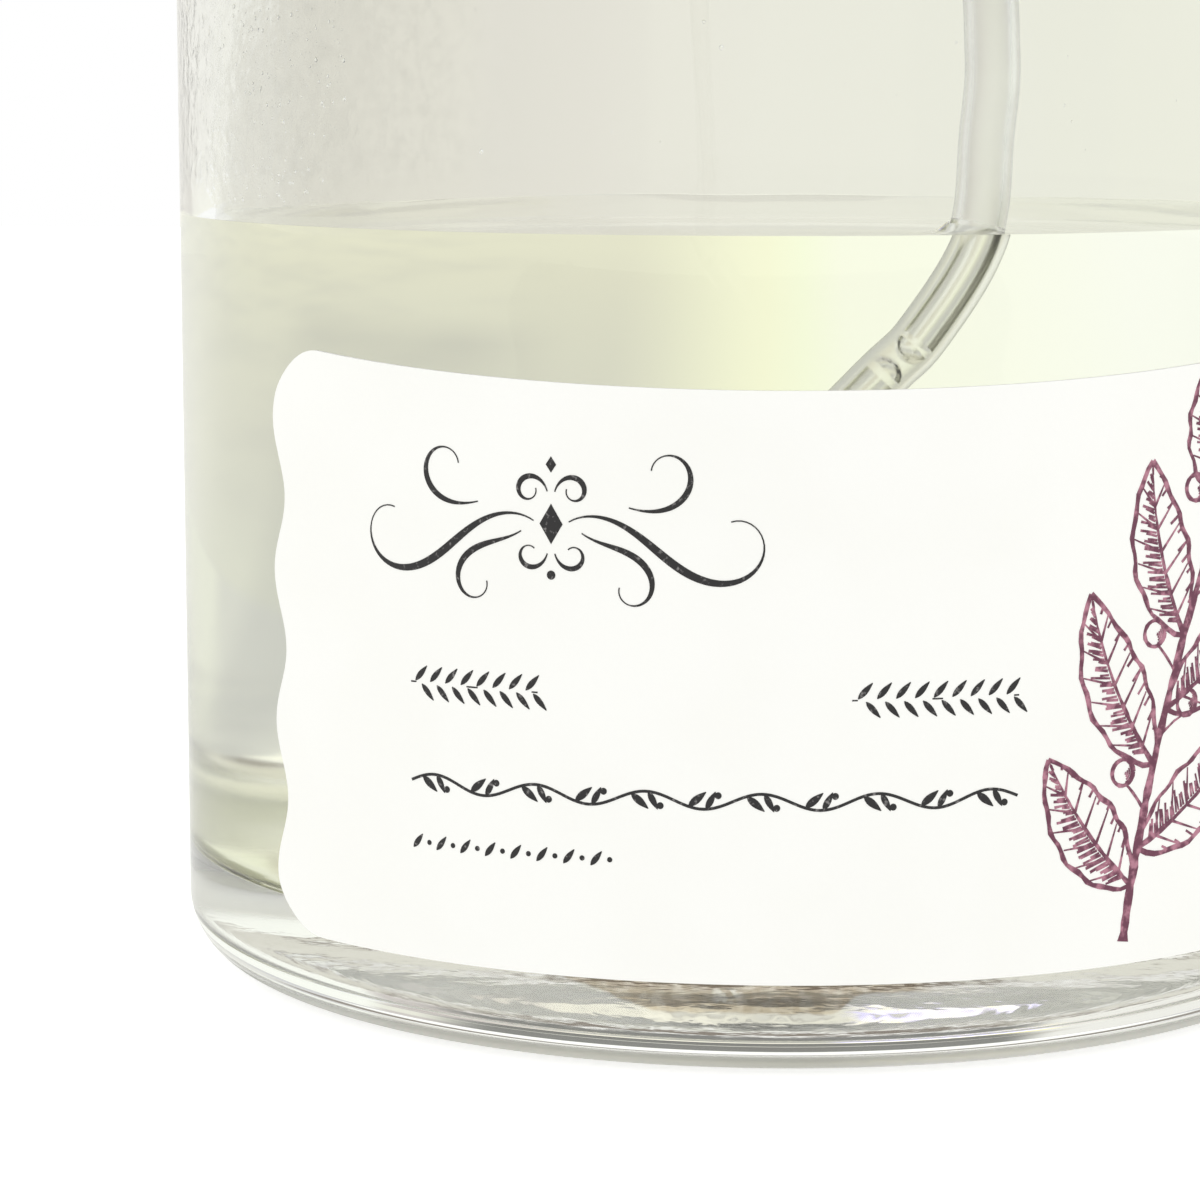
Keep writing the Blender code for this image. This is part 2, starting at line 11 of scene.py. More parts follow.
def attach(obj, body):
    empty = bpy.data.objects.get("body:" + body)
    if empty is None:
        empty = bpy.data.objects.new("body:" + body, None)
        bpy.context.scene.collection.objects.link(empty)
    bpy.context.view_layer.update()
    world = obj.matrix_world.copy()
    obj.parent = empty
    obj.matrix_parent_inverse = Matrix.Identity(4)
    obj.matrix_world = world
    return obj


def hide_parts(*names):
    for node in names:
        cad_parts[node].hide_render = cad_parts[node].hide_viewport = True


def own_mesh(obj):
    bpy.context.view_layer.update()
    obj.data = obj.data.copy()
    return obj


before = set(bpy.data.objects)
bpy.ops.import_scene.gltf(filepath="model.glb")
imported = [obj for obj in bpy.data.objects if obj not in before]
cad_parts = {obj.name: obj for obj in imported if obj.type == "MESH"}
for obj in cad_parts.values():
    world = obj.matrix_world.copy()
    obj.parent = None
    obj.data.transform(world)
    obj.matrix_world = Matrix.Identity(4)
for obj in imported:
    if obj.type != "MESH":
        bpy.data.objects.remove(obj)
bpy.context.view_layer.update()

MM = 0.001

# Camera. A short telephoto just above the liquid line, turned slightly left and down, so that the bottle's
# lower left part fills the square frame and the neck is far above it. Light may pass through many faces.
CAMERA_LENS = 113.08
CAMERA_PLACE = (0.0, -161.32 * MM, 37.66 * MM)
CAMERA_PITCH = 0.142
CAMERA_YAW = -0.0451
LIGHT_BOUNCES = 32


def add_object(name, data):
    made = bpy.data.objects.new(name, data)
    bpy.context.scene.collection.objects.link(made)
    return made


camera_data = bpy.data.cameras.new("camera")
camera_data.lens = CAMERA_LENS
camera_data.sensor_width = 36.0
camera_data.clip_start = 0.01
camera = add_object("camera", camera_data)
camera.location = CAMERA_PLACE
looking = Vector((
    math.sin(CAMERA_YAW) * math.cos(CAMERA_PITCH),
    math.cos(CAMERA_YAW) * math.cos(CAMERA_PITCH),
    -math.sin(CAMERA_PITCH),
))
camera.rotation_euler = looking.to_track_quat("-Z", "Y").to_euler()
bpy.context.scene.camera = camera
bpy.context.scene.view_settings.view_transform = "Standard"
bpy.context.scene.cycles.max_bounces = LIGHT_BOUNCES
bpy.context.scene.cycles.transmission_bounces = LIGHT_BOUNCES
bpy.context.scene.cycles.transparent_max_bounces = LIGHT_BOUNCES
bpy.context.scene.cycles.glossy_bounces = LIGHT_BOUNCES


# Studio. The bottle stands in a plain bright room, which lights it and shows in its gloss. What its glass
# bends into view is the room behind it: a grey-beige wall, cream and grey tones higher up with the colour
# fringes of a window at the left, and paler sides. The camera itself sees plain white past the bottle.
def link(tree, source, target):
    tree.links.new(source, target)


def plug(tree, socket, value):
    """Feeds an input from another socket, or gives it a plain value."""
    if isinstance(value, bpy.types.NodeSocket):
        link(tree, value, socket)
    else:
        socket.default_value = value


def math_node(tree, operation, *values):
    """A Math node whose inputs are sockets or numbers."""
    node = tree.nodes.new("ShaderNodeMath")
    node.operation = operation
    for socket, value in zip(node.inputs, values):
        plug(tree, socket, value)
    return node.outputs[0]


def ramp(tree, value, low, high, interpolation="SMOOTHSTEP"):
    """A smooth step from 0 at low to 1 at high."""
    node = tree.nodes.new("ShaderNodeMapRange")
    node.interpolation_type = interpolation
    node.inputs["From Min"].default_value = low
    node.inputs["From Max"].default_value = high
    link(tree, value, node.inputs["Value"])
    return node.outputs["Result"]


def both(tree, *masks):
    """The product of several masks."""
    result = masks[0]
    for mask in masks[1:]:
        result = math_node(tree, "MULTIPLY", result, mask)
    return result


def band(tree, value, *edges):
    """A mask that is 1 between the inner two of four rising edges and 0 beyond the outer two."""
    return both(tree, ramp(tree, value, edges[0], edges[1]), ramp(tree, value, edges[3], edges[2]))


def mix_colour(tree, factor, first, second, blend="MIX"):
    """A colour mix whose inputs are sockets or RGB triples."""
    node = tree.nodes.new("ShaderNodeMix")
    node.data_type = "RGBA"
    node.blend_type = blend
    for name, value in (("Factor_Float", factor), ("A_Color", first), ("B_Color", second)):
        socket = next(s for s in node.inputs if s.identifier == name)
        plug(tree, socket, (*value, 1.0) if isinstance(value, tuple) else value)
    return next(s for s in node.outputs if s.identifier == "Result_Color")


def layered(tree, base, *layers):
    """Colours laid over a base one after the other, each through its own mask."""
    for mask, colour in layers:
        base = mix_colour(tree, mask, base, colour)
    return base


def tone_strip(tree, value, stops):
    """A colour that runs through (value, colour) stops, given in rising order."""
    low, high = stops[0][0], stops[-1][0]
    strip = tree.nodes.new("ShaderNodeValToRGB")
    link(tree, ramp(tree, value, low, high, "LINEAR"), strip.inputs["Fac"])
    points = strip.color_ramp.elements
    points[0].color = (*stops[0][1], 1.0)
    points[1].color = (*stops[-1][1], 1.0)
    for at, colour in stops[1:-1]:
        points.new((at - low) / (high - low)).color = (*colour, 1.0)
    return strip.outputs["Color"]


def cloudy(tree, vector, scale, detail=2.0):
    """Noise from 0 to 1 along a vector socket."""
    node = tree.nodes.new("ShaderNodeTexNoise")
    node.inputs["Scale"].default_value = scale
    node.inputs["Detail"].default_value = detail
    link(tree, vector, node.inputs["Vector"])
    return node.outputs[0]


def placed(tree, kind, **values):
    """A node whose sockets are set by name from sockets or plain values; underscores stand for spaces."""
    node = tree.nodes.new(kind)
    for name, value in values.items():
        plug(tree, node.inputs[name.replace("_", " ")], value)
    return node


def axes(tree, vector):
    """The three coordinates of a vector."""
    return placed(tree, "ShaderNodeSeparateXYZ", Vector=vector).outputs


def chosen(tree, mask, first, second):
    """The first shader where the mask is 0, and the second where it is 1."""
    node = tree.nodes.new("ShaderNodeMixShader")
    for socket, source in zip(node.inputs, (mask, first, second)):
        link(tree, source, socket)
    return node.outputs[0]


world = bpy.data.worlds.new("studio")
bpy.context.scene.world = world
world.use_nodes = True
room = world.node_tree
room.nodes.clear()
direction = room.nodes.new("ShaderNodeTexCoord").outputs["Generated"]
across, depth, height = axes(room, direction)

WALL_LEFT = (1.0, 0.99, 0.95)
WALL_RIGHT = (0.9, 0.9, 0.84)
FRONT_ROOM = (1.06, 1.06, 1.05)
PANEL = (1.25, 1.25, 1.22)
CEILING = (1.15, 1.15, 1.13)
side_panel = both(room, ramp(room, math_node(room, "ABSOLUTE", across), 0.72, 0.86),
                  ramp(room, math_node(room, "ABSOLUTE", height), 0.62, 0.5))
room_colour = layered(
    room, mix_colour(room, ramp(room, across, -0.16, 0.14), WALL_LEFT, WALL_RIGHT),
    (ramp(room, depth, 0.35, -0.2), FRONT_ROOM),
    (side_panel, PANEL),
    (ramp(room, height, 0.45, 0.8), CEILING),
)

CREAM = (0.88, 0.87, 0.74)
UPPER_GREY = (0.52, 0.51, 0.47)
ROSY_GREY = (0.60, 0.56, 0.53)
PALE_GREY = (0.64, 0.64, 0.60)
SIDE_CREAM = (0.98, 1.0, 0.92)
SIDE_GREY = (0.84, 0.85, 0.88)
wall_behind = tone_strip(room, across, [
    (-0.36, (0.62, 0.60, 0.545)), (-0.23, (0.643, 0.618, 0.541)), (-0.15, (0.701, 0.676, 0.595)),
    (-0.064, (0.771, 0.745, 0.66)), (0.0, (0.808, 0.799, 0.70)), (0.1, (0.826, 0.826, 0.718)),
])
doorway = math_node(room, "MULTIPLY_ADD", height, -2.1, across)
daylight = tone_strip(room, height, [(-0.05, (0.95, 0.955, 0.83)), (0.0, (0.87, 0.865, 0.81))])
wall_behind = mix_colour(room, ramp(room, doorway, -0.37, -0.46), wall_behind, daylight)
upper_room = tone_strip(room, height, [
    (0.24, (0.80, 0.79, 0.70)), (0.275, CREAM), (0.37, CREAM), (0.42, UPPER_GREY), (1.0, UPPER_GREY),
])
fringes = tone_strip(room, height, [
    (0.19, (1.25, 1.05, 0.35)), (0.25, (1.45, 1.38, 0.8)), (0.31, (1.5, 1.5, 1.5)), (0.39, (0.95, 0.9, 1.7)),
    (0.45, (0.75, 0.6, 0.8)),
])
mottling = tone_strip(room, cloudy(room, direction, 9.0, 3.0), [
    (0.3, (0.72, 0.72, 0.72)), (0.7, (1.3, 1.28, 1.25)),
])
view = layered(
    room, mix_colour(room, ramp(room, height, 0.2, 0.25), wall_behind, upper_room),
    (both(room, ramp(room, across, -0.055, -0.09), band(room, height, 0.18, 0.2, 0.42, 0.46)), fringes),
    (both(room, ramp(room, across, -0.18, -0.3), ramp(room, height, 0.42, 0.5)), PALE_GREY),
    (both(room, ramp(room, across, -0.27, -0.33), ramp(room, height, 0.5, 0.4)), wall_behind),
    (both(room, ramp(room, across, 0.14, 0.34), ramp(room, height, 0.08, 0.1)), ROSY_GREY),
)
beside_front = both(room, ramp(room, depth, -0.3, -0.4), ramp(room, across, 0.42, 0.48),
                    ramp(room, height, 0.55, 0.48))
view = layered(
    room, view,
    (ramp(room, height, 0.2, 0.26), mix_colour(room, 1.0, view, mottling, "MULTIPLY")),
    (ramp(room, across, 0.42, 0.47), mix_colour(room, ramp(room, height, 0.3, 0.36), SIDE_CREAM, SIDE_GREY)),
    (ramp(room, depth, -0.35, -0.6), FRONT_ROOM),
    (beside_front, SIDE_GREY),
)

seen = room.nodes.new("ShaderNodeLightPath").outputs
background = placed(room, "ShaderNodeBackground",
                    Color=mix_colour(room, seen["Is Transmission Ray"], room_colour, view))
white = placed(room, "ShaderNodeBackground", Color=(1.0, 1.0, 1.0, 1.0), Strength=1.0)
placed(room, "ShaderNodeOutputWorld",
       Surface=chosen(room, seen["Is Camera Ray"], background.outputs[0], white.outputs[0]))

# Table. A pale top at the height that the bottle stands on. Its light and shade are painted: it glows with
# them for rays that pass through glass, and plain and bright for other rays. Bent by the liquid, its far part
# shows painted sunlight on the right and painted soft shade on the left. Close by lie the bottle's own
# painted shadow, a painted dark shadow spot right behind the glass, a painted glint and the painted light
# that the bottle gathers. The camera sees the table as white.
TABLE_SIZE = 1.4
TABLE_DROP = 0.02 * MM
TABLE_LIGHT = (0.98, 0.98, 0.95)
TABLE_WHITE = (0.8, 0.8, 0.8, 1.0)
CAMERA_GLOW = 0.7
LIGHT_PATCH = (0.80, 0.815, 0.76)
FAR_LEFT = (0.80, 0.79, 0.76)
LABEL_SHADE = (0.88, 0.88, 0.9)
UNEVEN_SHADE = (0.93, 0.93, 0.95)
CONTACT_SHADOW = (0.72, 0.71, 0.62)
UMBRA = (0.21, 0.175, 0.14)
GATHERED_LIGHT = (1.0, 1.02, 0.9)
GLINT = (1.15, 1.15, 1.08)
SHADE_EDGE = 0.096
SHADE_BLUR = 0.003


def coordinates(tree):
    """A piece's own Object coordinates in a material."""
    return tree.nodes.new("ShaderNodeTexCoord").outputs["Object"]


def bare_material(name):
    """A material without any nodes yet, its tree, and the Object coordinates in that tree."""
    finish = bpy.data.materials.new(name)
    finish.use_nodes = True
    finish.node_tree.nodes.clear()
    return finish, finish.node_tree, coordinates(finish.node_tree)


def vector_math(tree, operation, *vectors):
    """The outputs of a Vector Math node."""
    node = tree.nodes.new("ShaderNodeVectorMath")
    node.operation = operation
    for socket, vector in zip(node.inputs, vectors):
        link(tree, vector, socket)
    return node.outputs


bm = bmesh.new()
bmesh.ops.create_grid(bm, x_segments=1, y_segments=1, size=TABLE_SIZE / 2)
mesh = bpy.data.meshes.new("table")
bm.to_mesh(mesh)
bm.free()
table = add_object("table", mesh)
table.location = (0.0, 0.0, -TABLE_DROP)
table_top, tree, spot = bare_material("table_top")
aside, behind, _ = axes(tree, spot)
bearing = math_node(tree, "DIVIDE", aside, math_node(tree, "MAXIMUM", behind, 0.02))
shaded = tone_strip(tree, behind, [
    (0.02, (0.66, 0.665, 0.66)), (SHADE_EDGE - SHADE_BLUR, (0.656, 0.66, 0.66)),
    (SHADE_EDGE + SHADE_BLUR, (0.69, 0.695, 0.655)), (0.2, (0.685, 0.68, 0.635)),
    (0.332, (0.72, 0.715, 0.645)), (0.509, (0.765, 0.755, 0.66)), (0.62, (0.80, 0.79, 0.68)),
])
sunlit = tone_strip(tree, bearing, [
    (-0.25, (1.0, 1.015, 1.015)), (-0.041, (0.993, 1.015, 0.922)), (-0.017, (0.975, 1.015, 0.842)),
    (0.003, (0.975, 0.988, 0.793)),
])
beyond = ramp(tree, behind, SHADE_EDGE - SHADE_BLUR, SHADE_EDGE + SHADE_BLUR)
near_side = math_node(tree, "SUBTRACT", 1.0, beyond)
patch_edge = math_node(tree, "MULTIPLY_ADD", behind, -0.9, math_node(tree, "ADD", aside, 0.02))
label_shade = both(tree, band(tree, bearing, 0.1, 0.2, 0.36, 0.5), ramp(tree, behind, 0.43, 0.34))
uneven = both(tree, ramp(tree, cloudy(tree, spot, 16.0), 0.35, 0.75), ramp(tree, bearing, 0.1, 0.2), beyond)
from_axis = vector_math(tree, "LENGTH", spot)["Value"]
lit = layered(
    tree, shaded,
    (both(tree, ramp(tree, bearing, 0.09, -0.005), ramp(tree, behind, 0.1, 0.2)), sunlit),
    (both(tree, ramp(tree, bearing, 0.6, 1.2), beyond), FAR_LEFT),
    (both(tree, ramp(tree, patch_edge, -0.012, 0.002), near_side), LIGHT_PATCH),
)
lit = mix_colour(tree, math_node(tree, "MULTIPLY", label_shade, 0.9), lit, LABEL_SHADE, "MULTIPLY")
lit = mix_colour(tree, uneven, lit, UNEVEN_SHADE, "MULTIPLY")
# Painted shade and light close behind the bottle: its shadow, a dark shadow spot, a glint and gathered light.
lit = layered(
    tree, lit,
    (ramp(tree, from_axis, 0.0385, 0.033), CONTACT_SHADOW),
    (both(tree, band(tree, behind, 0.033, 0.0345, 0.0382, 0.0392),
          band(tree, aside, -0.0028, -0.002, 0.002, 0.0028)), UMBRA),
    (both(tree, band(tree, behind, 0.0392, 0.0405, 0.049, 0.052),
          band(tree, aside, -0.004, -0.003, 0.003, 0.004)), GLINT),
    (both(tree, band(tree, aside, -0.018, -0.015, -0.009, -0.006),
          band(tree, behind, 0.006, 0.01, 0.019, 0.022)), GATHERED_LIGHT),
)
seen = tree.nodes.new("ShaderNodeLightPath").outputs
glow = placed(tree, "ShaderNodeEmission",
              Color=mix_colour(tree, seen["Is Transmission Ray"], TABLE_LIGHT, lit))
camera_white = placed(tree, "ShaderNodeEmission", Strength=CAMERA_GLOW)
matt = placed(tree, "ShaderNodeBsdfDiffuse", Color=TABLE_WHITE)
camera_view = tree.nodes.new("ShaderNodeAddShader")
link(tree, camera_white.outputs[0], camera_view.inputs[0])
link(tree, matt.outputs[0], camera_view.inputs[1])
placed(tree, "ShaderNodeOutputMaterial",
       Surface=chosen(tree, seen["Is Camera Ray"], glow.outputs[0], camera_view.outputs[0]))
mesh.materials.append(table_top)

# Card. A small dark card set low behind the bottle, as a photographer does to draw the edges of glass. Only
# the thick base bends it into view; the camera and the lighting don't see it.
CARD_BEHIND = 60.0 * MM
CARD_HALF_WIDTH = 14.0 * MM
CARD_BOTTOM = 4.4 * MM
CARD_TOP = 11.0 * MM
CARD_GREY = (0.20, 0.20, 0.185)
CARD_DARK = (0.15, 0.15, 0.14)
mesh = bpy.data.meshes.new("dark_card")
mesh.from_pydata([(x, CARD_BEHIND, z) for x, z in (
    (-CARD_HALF_WIDTH, CARD_BOTTOM), (CARD_HALF_WIDTH, CARD_BOTTOM), (CARD_HALF_WIDTH, CARD_TOP),
    (-CARD_HALF_WIDTH, CARD_TOP))], [], [(0, 1, 2, 3)])
card = add_object("dark_card", mesh)
card_board, tree, spot = bare_material("card_board")
aside, _, height = axes(tree, spot)
glow = placed(tree, "ShaderNodeEmission", Color=tone_strip(tree, height, [
    (CARD_BOTTOM, CARD_GREY), (CARD_BOTTOM + 4.0 * MM, CARD_GREY), (CARD_BOTTOM + 4.6 * MM, CARD_DARK),
    (CARD_TOP, CARD_DARK),
]))
shown = both(tree, tree.nodes.new("ShaderNodeLightPath").outputs["Is Transmission Ray"],
             band(tree, aside, -6.0 * MM, -4.0 * MM, 5.0 * MM, 9.0 * MM))
see_through = tree.nodes.new("ShaderNodeBsdfTransparent").outputs[0]
placed(tree, "ShaderNodeOutputMaterial", Surface=chosen(tree, shown, see_through, glow.outputs[0]))
mesh.materials.append(card_board)

# Glass bottle. Machine-blown flint glass with a thick base, a rounded heel, a shallow push-up that leaves a
# flat bearing ring, and a crimp neck. Below the liquid line its inner face is wet, so it bends light less.
# The wall is filmed at the upper left. In front under the label it carries a painted brown shade with a small
# painted highlight, and its heel's rim is scuffed and carries a painted grey shade, darker in front.
BODY_RADIUS = 25.0 * MM
HEEL_RADIUS = 2.6 * MM
FOOT_INNER_RADIUS = 19.5 * MM
PUSH_UP_HEIGHT = 1.1 * MM
BASE_THICKNESS = 4.6 * MM
FLOOR_DOME = 0.25 * MM
FLOOR_FILLET = 1.0 * MM
WALL_THICKNESS = 1.6 * MM
UPPER_WALL_THICKNESS = 2.4 * MM
THIN_WALL_TOP = 32.0 * MM
THICK_WALL_START = 70.0 * MM
SHOULDER_HEIGHT = 76.0 * MM
SHOULDER_RADIUS = 6.0 * MM
SHOULDER_THICKNESS = 3.2 * MM
SHOULDER_RISE = 1.2 * MM
NECK_RADIUS = 6.4 * MM
NECK_FILLET = 1.8 * MM
NECK_BORE = 4.75 * MM
BEAD_RADIUS = 7.5 * MM
BEAD_BOTTOM = 80.4 * MM
NECK_TOP = 84.0 * MM
EDGE_ROUND = 0.5 * MM
RIPPLE_DEPTH = 0.05 * MM
FILM_DEPTH = 0.004 * MM
BLOW_DEPTH = 0.05 * MM
BROAD_WAVES = 90.0
FINE_WAVES = 260.0
GLASS_IOR = 1.5
PERFUME_IOR = 1.36
LIQUID_LEVEL = 31.35 * MM
WALL_MENISCUS = 0.03 * MM
BODY_STEPS = 240


def arc(centre_r, centre_z, radius, start, end, steps=12):
    """Points of an arc in the radius-height plane. Angles are in degrees, 0 outwards and 90 upwards."""
    points = []
    for i in range(steps + 1):
        angle = math.radians(start + (end - start) * i / steps)
        points.append((centre_r + radius * math.cos(angle), centre_z + radius * math.sin(angle)))
    return points


def run(start, end, steps):
    """Points along a straight stretch of a profile, without its two ends."""
    points = []
    for i in range(1, steps):
        share = i / steps
        points.append((start[0] + (end[0] - start[0]) * share, start[1] + (end[1] - start[1]) * share))
    return points


def eased(start, end, steps):
    """Like run, but the radius eases in and out."""
    points = []
    for i in range(1, steps):
        share = i / steps
        soft = share * share * (3 - 2 * share)
        points.append((start[0] + (end[0] - start[0]) * soft, start[1] + (end[1] - start[1]) * share))
    return points


def modelling_tree(name, sizes):
    """A Geometry Nodes tree with named inputs, its group input, and a function that closes it off."""
    tree = bpy.data.node_groups.new(name, "GeometryNodeTree")
    tree.interface.new_socket("Geometry", in_out="INPUT", socket_type="NodeSocketGeometry")
    tree.interface.new_socket("Geometry", in_out="OUTPUT", socket_type="NodeSocketGeometry")
    for label, kind in sizes.items():
        tree.interface.new_socket(label, in_out="INPUT", socket_type="NodeSocket" + kind)
    tree.interface.new_socket("Finish", in_out="INPUT", socket_type="NodeSocketMaterial")
    given = tree.nodes.new("NodeGroupInput").outputs

    def close(geometry):
        realised = tree.nodes.new("GeometryNodeRealizeInstances")
        painted = tree.nodes.new("GeometryNodeSetMaterial")
        link(tree, geometry, realised.inputs[0])
        link(tree, realised.outputs[0], painted.inputs["Geometry"])
        link(tree, given["Finish"], painted.inputs["Material"])
        link(tree, painted.outputs[0], tree.nodes.new("NodeGroupOutput").inputs[0])

    return tree, given, close


def grown(name, start, tree, **values):
    """An object with the plain mesh that a tree makes from the starting mesh."""
    carrier = add_object(name, start)
    modifier = carrier.modifiers.new(name, "NODES")
    modifier.node_group = tree
    for item in tree.interface.items_tree:
        key = item.name.replace(" ", "_")
        if item.in_out == "INPUT" and key in values:
            modifier[item.identifier] = values[key]
    graph = bpy.context.evaluated_depsgraph_get()
    mesh = bpy.data.meshes.new_from_object(carrier.evaluated_get(graph))
    carrier.modifiers.clear()
    carrier.data = mesh
    mesh.name = name
    return carrier


lathe, given, close = modelling_tree("lathe", {"Steps": "Int", "Spindle": "Float", "Seam": "Float"})
profile = placed(lathe, "GeometryNodeMeshToCurve", Mesh=given["Geometry"])
spindle = placed(lathe, "GeometryNodeCurvePrimitiveCircle", Resolution=given["Steps"],
                 Radius=given["Spindle"])
upright = placed(lathe, "GeometryNodeSetCurveNormal", Curve=spindle.outputs[0])
upright.mode = "Z_UP"
swept = placed(lathe, "GeometryNodeCurveToMesh", Curve=upright.outputs[0], Profile_Curve=profile.outputs[0])
joined = placed(lathe, "GeometryNodeMergeByDistance", Geometry=swept.outputs[0], Distance=given["Seam"])
close(joined.outputs[0])


def turned(name, outline, finish, steps=96, closed=False):
    """A solid of revolution about Z. The outline is (radius, height) points; an open one ends on the axis."""
    mesh = bpy.data.meshes.new(name)
    edges = [(i, i + 1) for i in range(len(outline) - 1)]
    if closed:
        edges.append((len(outline) - 1, 0))
    mesh.from_pydata([(r, -z, 0.0) for r, z in outline], edges, [])
    made = grown(name, mesh, lathe, Steps=steps, Spindle=0.001 * MM, Seam=0.003 * MM, Finish=finish)
    face_outwards(made.data)
    return made


def face_outwards(mesh):
    bm = bmesh.new()
    bm.from_mesh(mesh)
    bmesh.ops.recalc_face_normals(bm, faces=bm.faces)
    bm.to_mesh(mesh)
    bm.free()


def fit(made, body, node=None, sharp=40.0):
    """Shades a finished piece, lets it ride on its body and, where given, stands it in for a CAD node."""
    made.data.shade_smooth()
    made.data.set_sharp_from_angle(angle=math.radians(sharp))
    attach(made, body)
    if node:
        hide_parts(node)
    return made


def principled(name, colour, roughness, metallic=0.0, transmission=0.0, ior=1.5):
    """A material with one Principled shader, and that shader."""
    finish = bpy.data.materials.new(name)
    finish.use_nodes = True
    shader = finish.node_tree.nodes["Principled BSDF"]
    shader.inputs["Base Color"].default_value = (*colour, 1.0)
    shader.inputs["Roughness"].default_value = roughness
    shader.inputs["Metallic"].default_value = metallic
    shader.inputs["Transmission Weight"].default_value = transmission
    shader.inputs["IOR"].default_value = ior
    return finish, shader


def inner_wall(inset=0.0):
    """The bottle's inside from the mouth down to the middle of the floor, moved inwards by the inset."""
    lower = BODY_RADIUS - WALL_THICKNESS - inset
    upper = BODY_RADIUS - UPPER_WALL_THICKNESS - inset
    ceiling = SHOULDER_HEIGHT - SHOULDER_THICKNESS - inset
    floor = BASE_THICKNESS + inset
    shoulder = SHOULDER_RADIUS - UPPER_WALL_THICKNESS * 0.6
    fillet_top = floor + FLOOR_FILLET
    points = [(NECK_BORE, NECK_TOP - EDGE_ROUND)]
    points += run((NECK_BORE, NECK_TOP), (NECK_BORE, ceiling + SHOULDER_RISE + NECK_FILLET), 6)[1:]
    points += arc(NECK_BORE + NECK_FILLET, ceiling + SHOULDER_RISE + NECK_FILLET, NECK_FILLET, 180, 264)
    points += arc(upper - shoulder, ceiling - shoulder, shoulder, 84, 0)
    points += run((upper, ceiling - shoulder), (upper, THICK_WALL_START), 14)
    points += [(upper, THICK_WALL_START)]
    points += eased((upper, THICK_WALL_START), (lower, THIN_WALL_TOP), 8)
    points += [(lower, THIN_WALL_TOP), (lower, LIQUID_LEVEL + WALL_MENISCUS)]
    points += run((lower, LIQUID_LEVEL + WALL_MENISCUS), (lower, fillet_top), 16)
    points += arc(lower - FLOOR_FILLET, fillet_top, FLOOR_FILLET, 0, -90, 20)
    for i in range(1, 13):
        share = 1 - i / 12
        points.append(((lower - FLOOR_FILLET) * share, floor + FLOOR_DOME * (1 - share**2)))
    return points


def outer_wall():
    """The bottle's outside from the middle of the underside to the lip."""
    foot = BODY_RADIUS - HEEL_RADIUS
    rise = SHOULDER_HEIGHT + SHOULDER_RISE
    points = [(0.0, PUSH_UP_HEIGHT)]
    for i in range(1, 12):
        share = i / 12
        points.append((FOOT_INNER_RADIUS * share, PUSH_UP_HEIGHT * (1 - share**4)))
    points += [(FOOT_INNER_RADIUS, 0.0)]
    points += run((FOOT_INNER_RADIUS, 0.0), (foot, 0.0), 6)
    points += arc(foot, HEEL_RADIUS, HEEL_RADIUS, -90, 0, 24)
    points += run((BODY_RADIUS, HEEL_RADIUS), (BODY_RADIUS, SHOULDER_HEIGHT - SHOULDER_RADIUS), 20)
    points += arc(BODY_RADIUS - SHOULDER_RADIUS, SHOULDER_HEIGHT - SHOULDER_RADIUS, SHOULDER_RADIUS,
                  0, 84, 20)
    points += arc(NECK_RADIUS + NECK_FILLET, rise + NECK_FILLET, NECK_FILLET, 266, 180, 12)
    points += arc(BEAD_RADIUS - EDGE_ROUND, BEAD_BOTTOM + EDGE_ROUND, EDGE_ROUND, -90, 0, 6)
    points += arc(BEAD_RADIUS - EDGE_ROUND, NECK_TOP - EDGE_ROUND, EDGE_ROUND, 0, 90, 6)
    points += arc(NECK_BORE + EDGE_ROUND, NECK_TOP - EDGE_ROUND, EDGE_ROUND, 90, 180, 6)[:-1]
    return points


def blow(mesh):
    """Gives the inner wall the unevenness that blowing leaves: broad waves, and fine ones half as deep."""
    inner_radius = BODY_RADIUS - WALL_THICKNESS + 0.01 * MM
    low, high = BASE_THICKNESS - 0.01 * MM, SHOULDER_HEIGHT - SHOULDER_RADIUS
    for vert in mesh.vertices:
        radial = vert.co.xy.length
        if low < vert.co.z < high and 1e-6 < radial < inner_radius:
            broad = noise.noise(Vector((vert.co.x, vert.co.y, vert.co.z * 0.5)) * BROAD_WAVES)
            fine = noise.noise(Vector((vert.co.x, vert.co.y, vert.co.z * 0.4)) * FINE_WAVES)
            vert.co.xy *= 1 - BLOW_DEPTH * (broad + 0.5 * fine) / radial


def relief(finish, shader, height, depth, **more):
    """Bumps a material's surface by a height from 0 to 1 and a depth in metres."""
    node = placed(finish.node_tree, "ShaderNodeBump", Height=height, Distance=depth, **more)
    link(finish.node_tree, node.outputs[0], shader.inputs["Normal"])


def toned(finish, shader, mask, first, second):
    """Lets a material's colour run from the first, where the mask is 0, to the second, where it is 1."""
    tree = finish.node_tree
    link(tree, mix_colour(tree, mask, first, second), shader.inputs["Base Color"])


def dulled(finish, shader, mask, more, least):
    """Gives a material its least roughness where the mask is 0, and more on top of that where it is 1."""
    link(finish.node_tree, math_node(finish.node_tree, "MULTIPLY_ADD", mask, more, least),
         shader.inputs["Roughness"])


def clear(name, ior, tint=(1.0, 1.0, 1.0)):
    """A smooth clear material, and its shader."""
    return principled(name, tint, 0.0, transmission=1.0, ior=ior)


GLASS_TONE = (0.985, 0.99, 0.98)
FILM_TONE = (0.91, 0.915, 0.905)
BROWN_SHADE_DARK = (0.38, 0.29, 0.19)
BROWN_SHADE_LIGHT = (0.64, 0.55, 0.43)
PAINTED_HIGHLIGHT_TONE = (1.0, 0.96, 0.88)
HEEL_SHADE_FRONT = (0.52, 0.52, 0.48)
HEEL_SHADE_BACK = (0.97, 0.97, 0.94)
FILM_BOTTOM = 31.5 * MM
BROWN_SHADE_BOTTOM = 2.4 * MM
BROWN_SHADE_TOP = 6.0 * MM
SCUFFED_AND_SHADED_TOP = 1.0 * MM
FILM_DULLNESS = 0.10
SMUDGE_DULLNESS = 0.007
SCUFF_DULLNESS = 0.3
WET_DULLNESS = 0.2
BASE_DULLNESS = 0.05
BACK_DULLNESS = 0.35

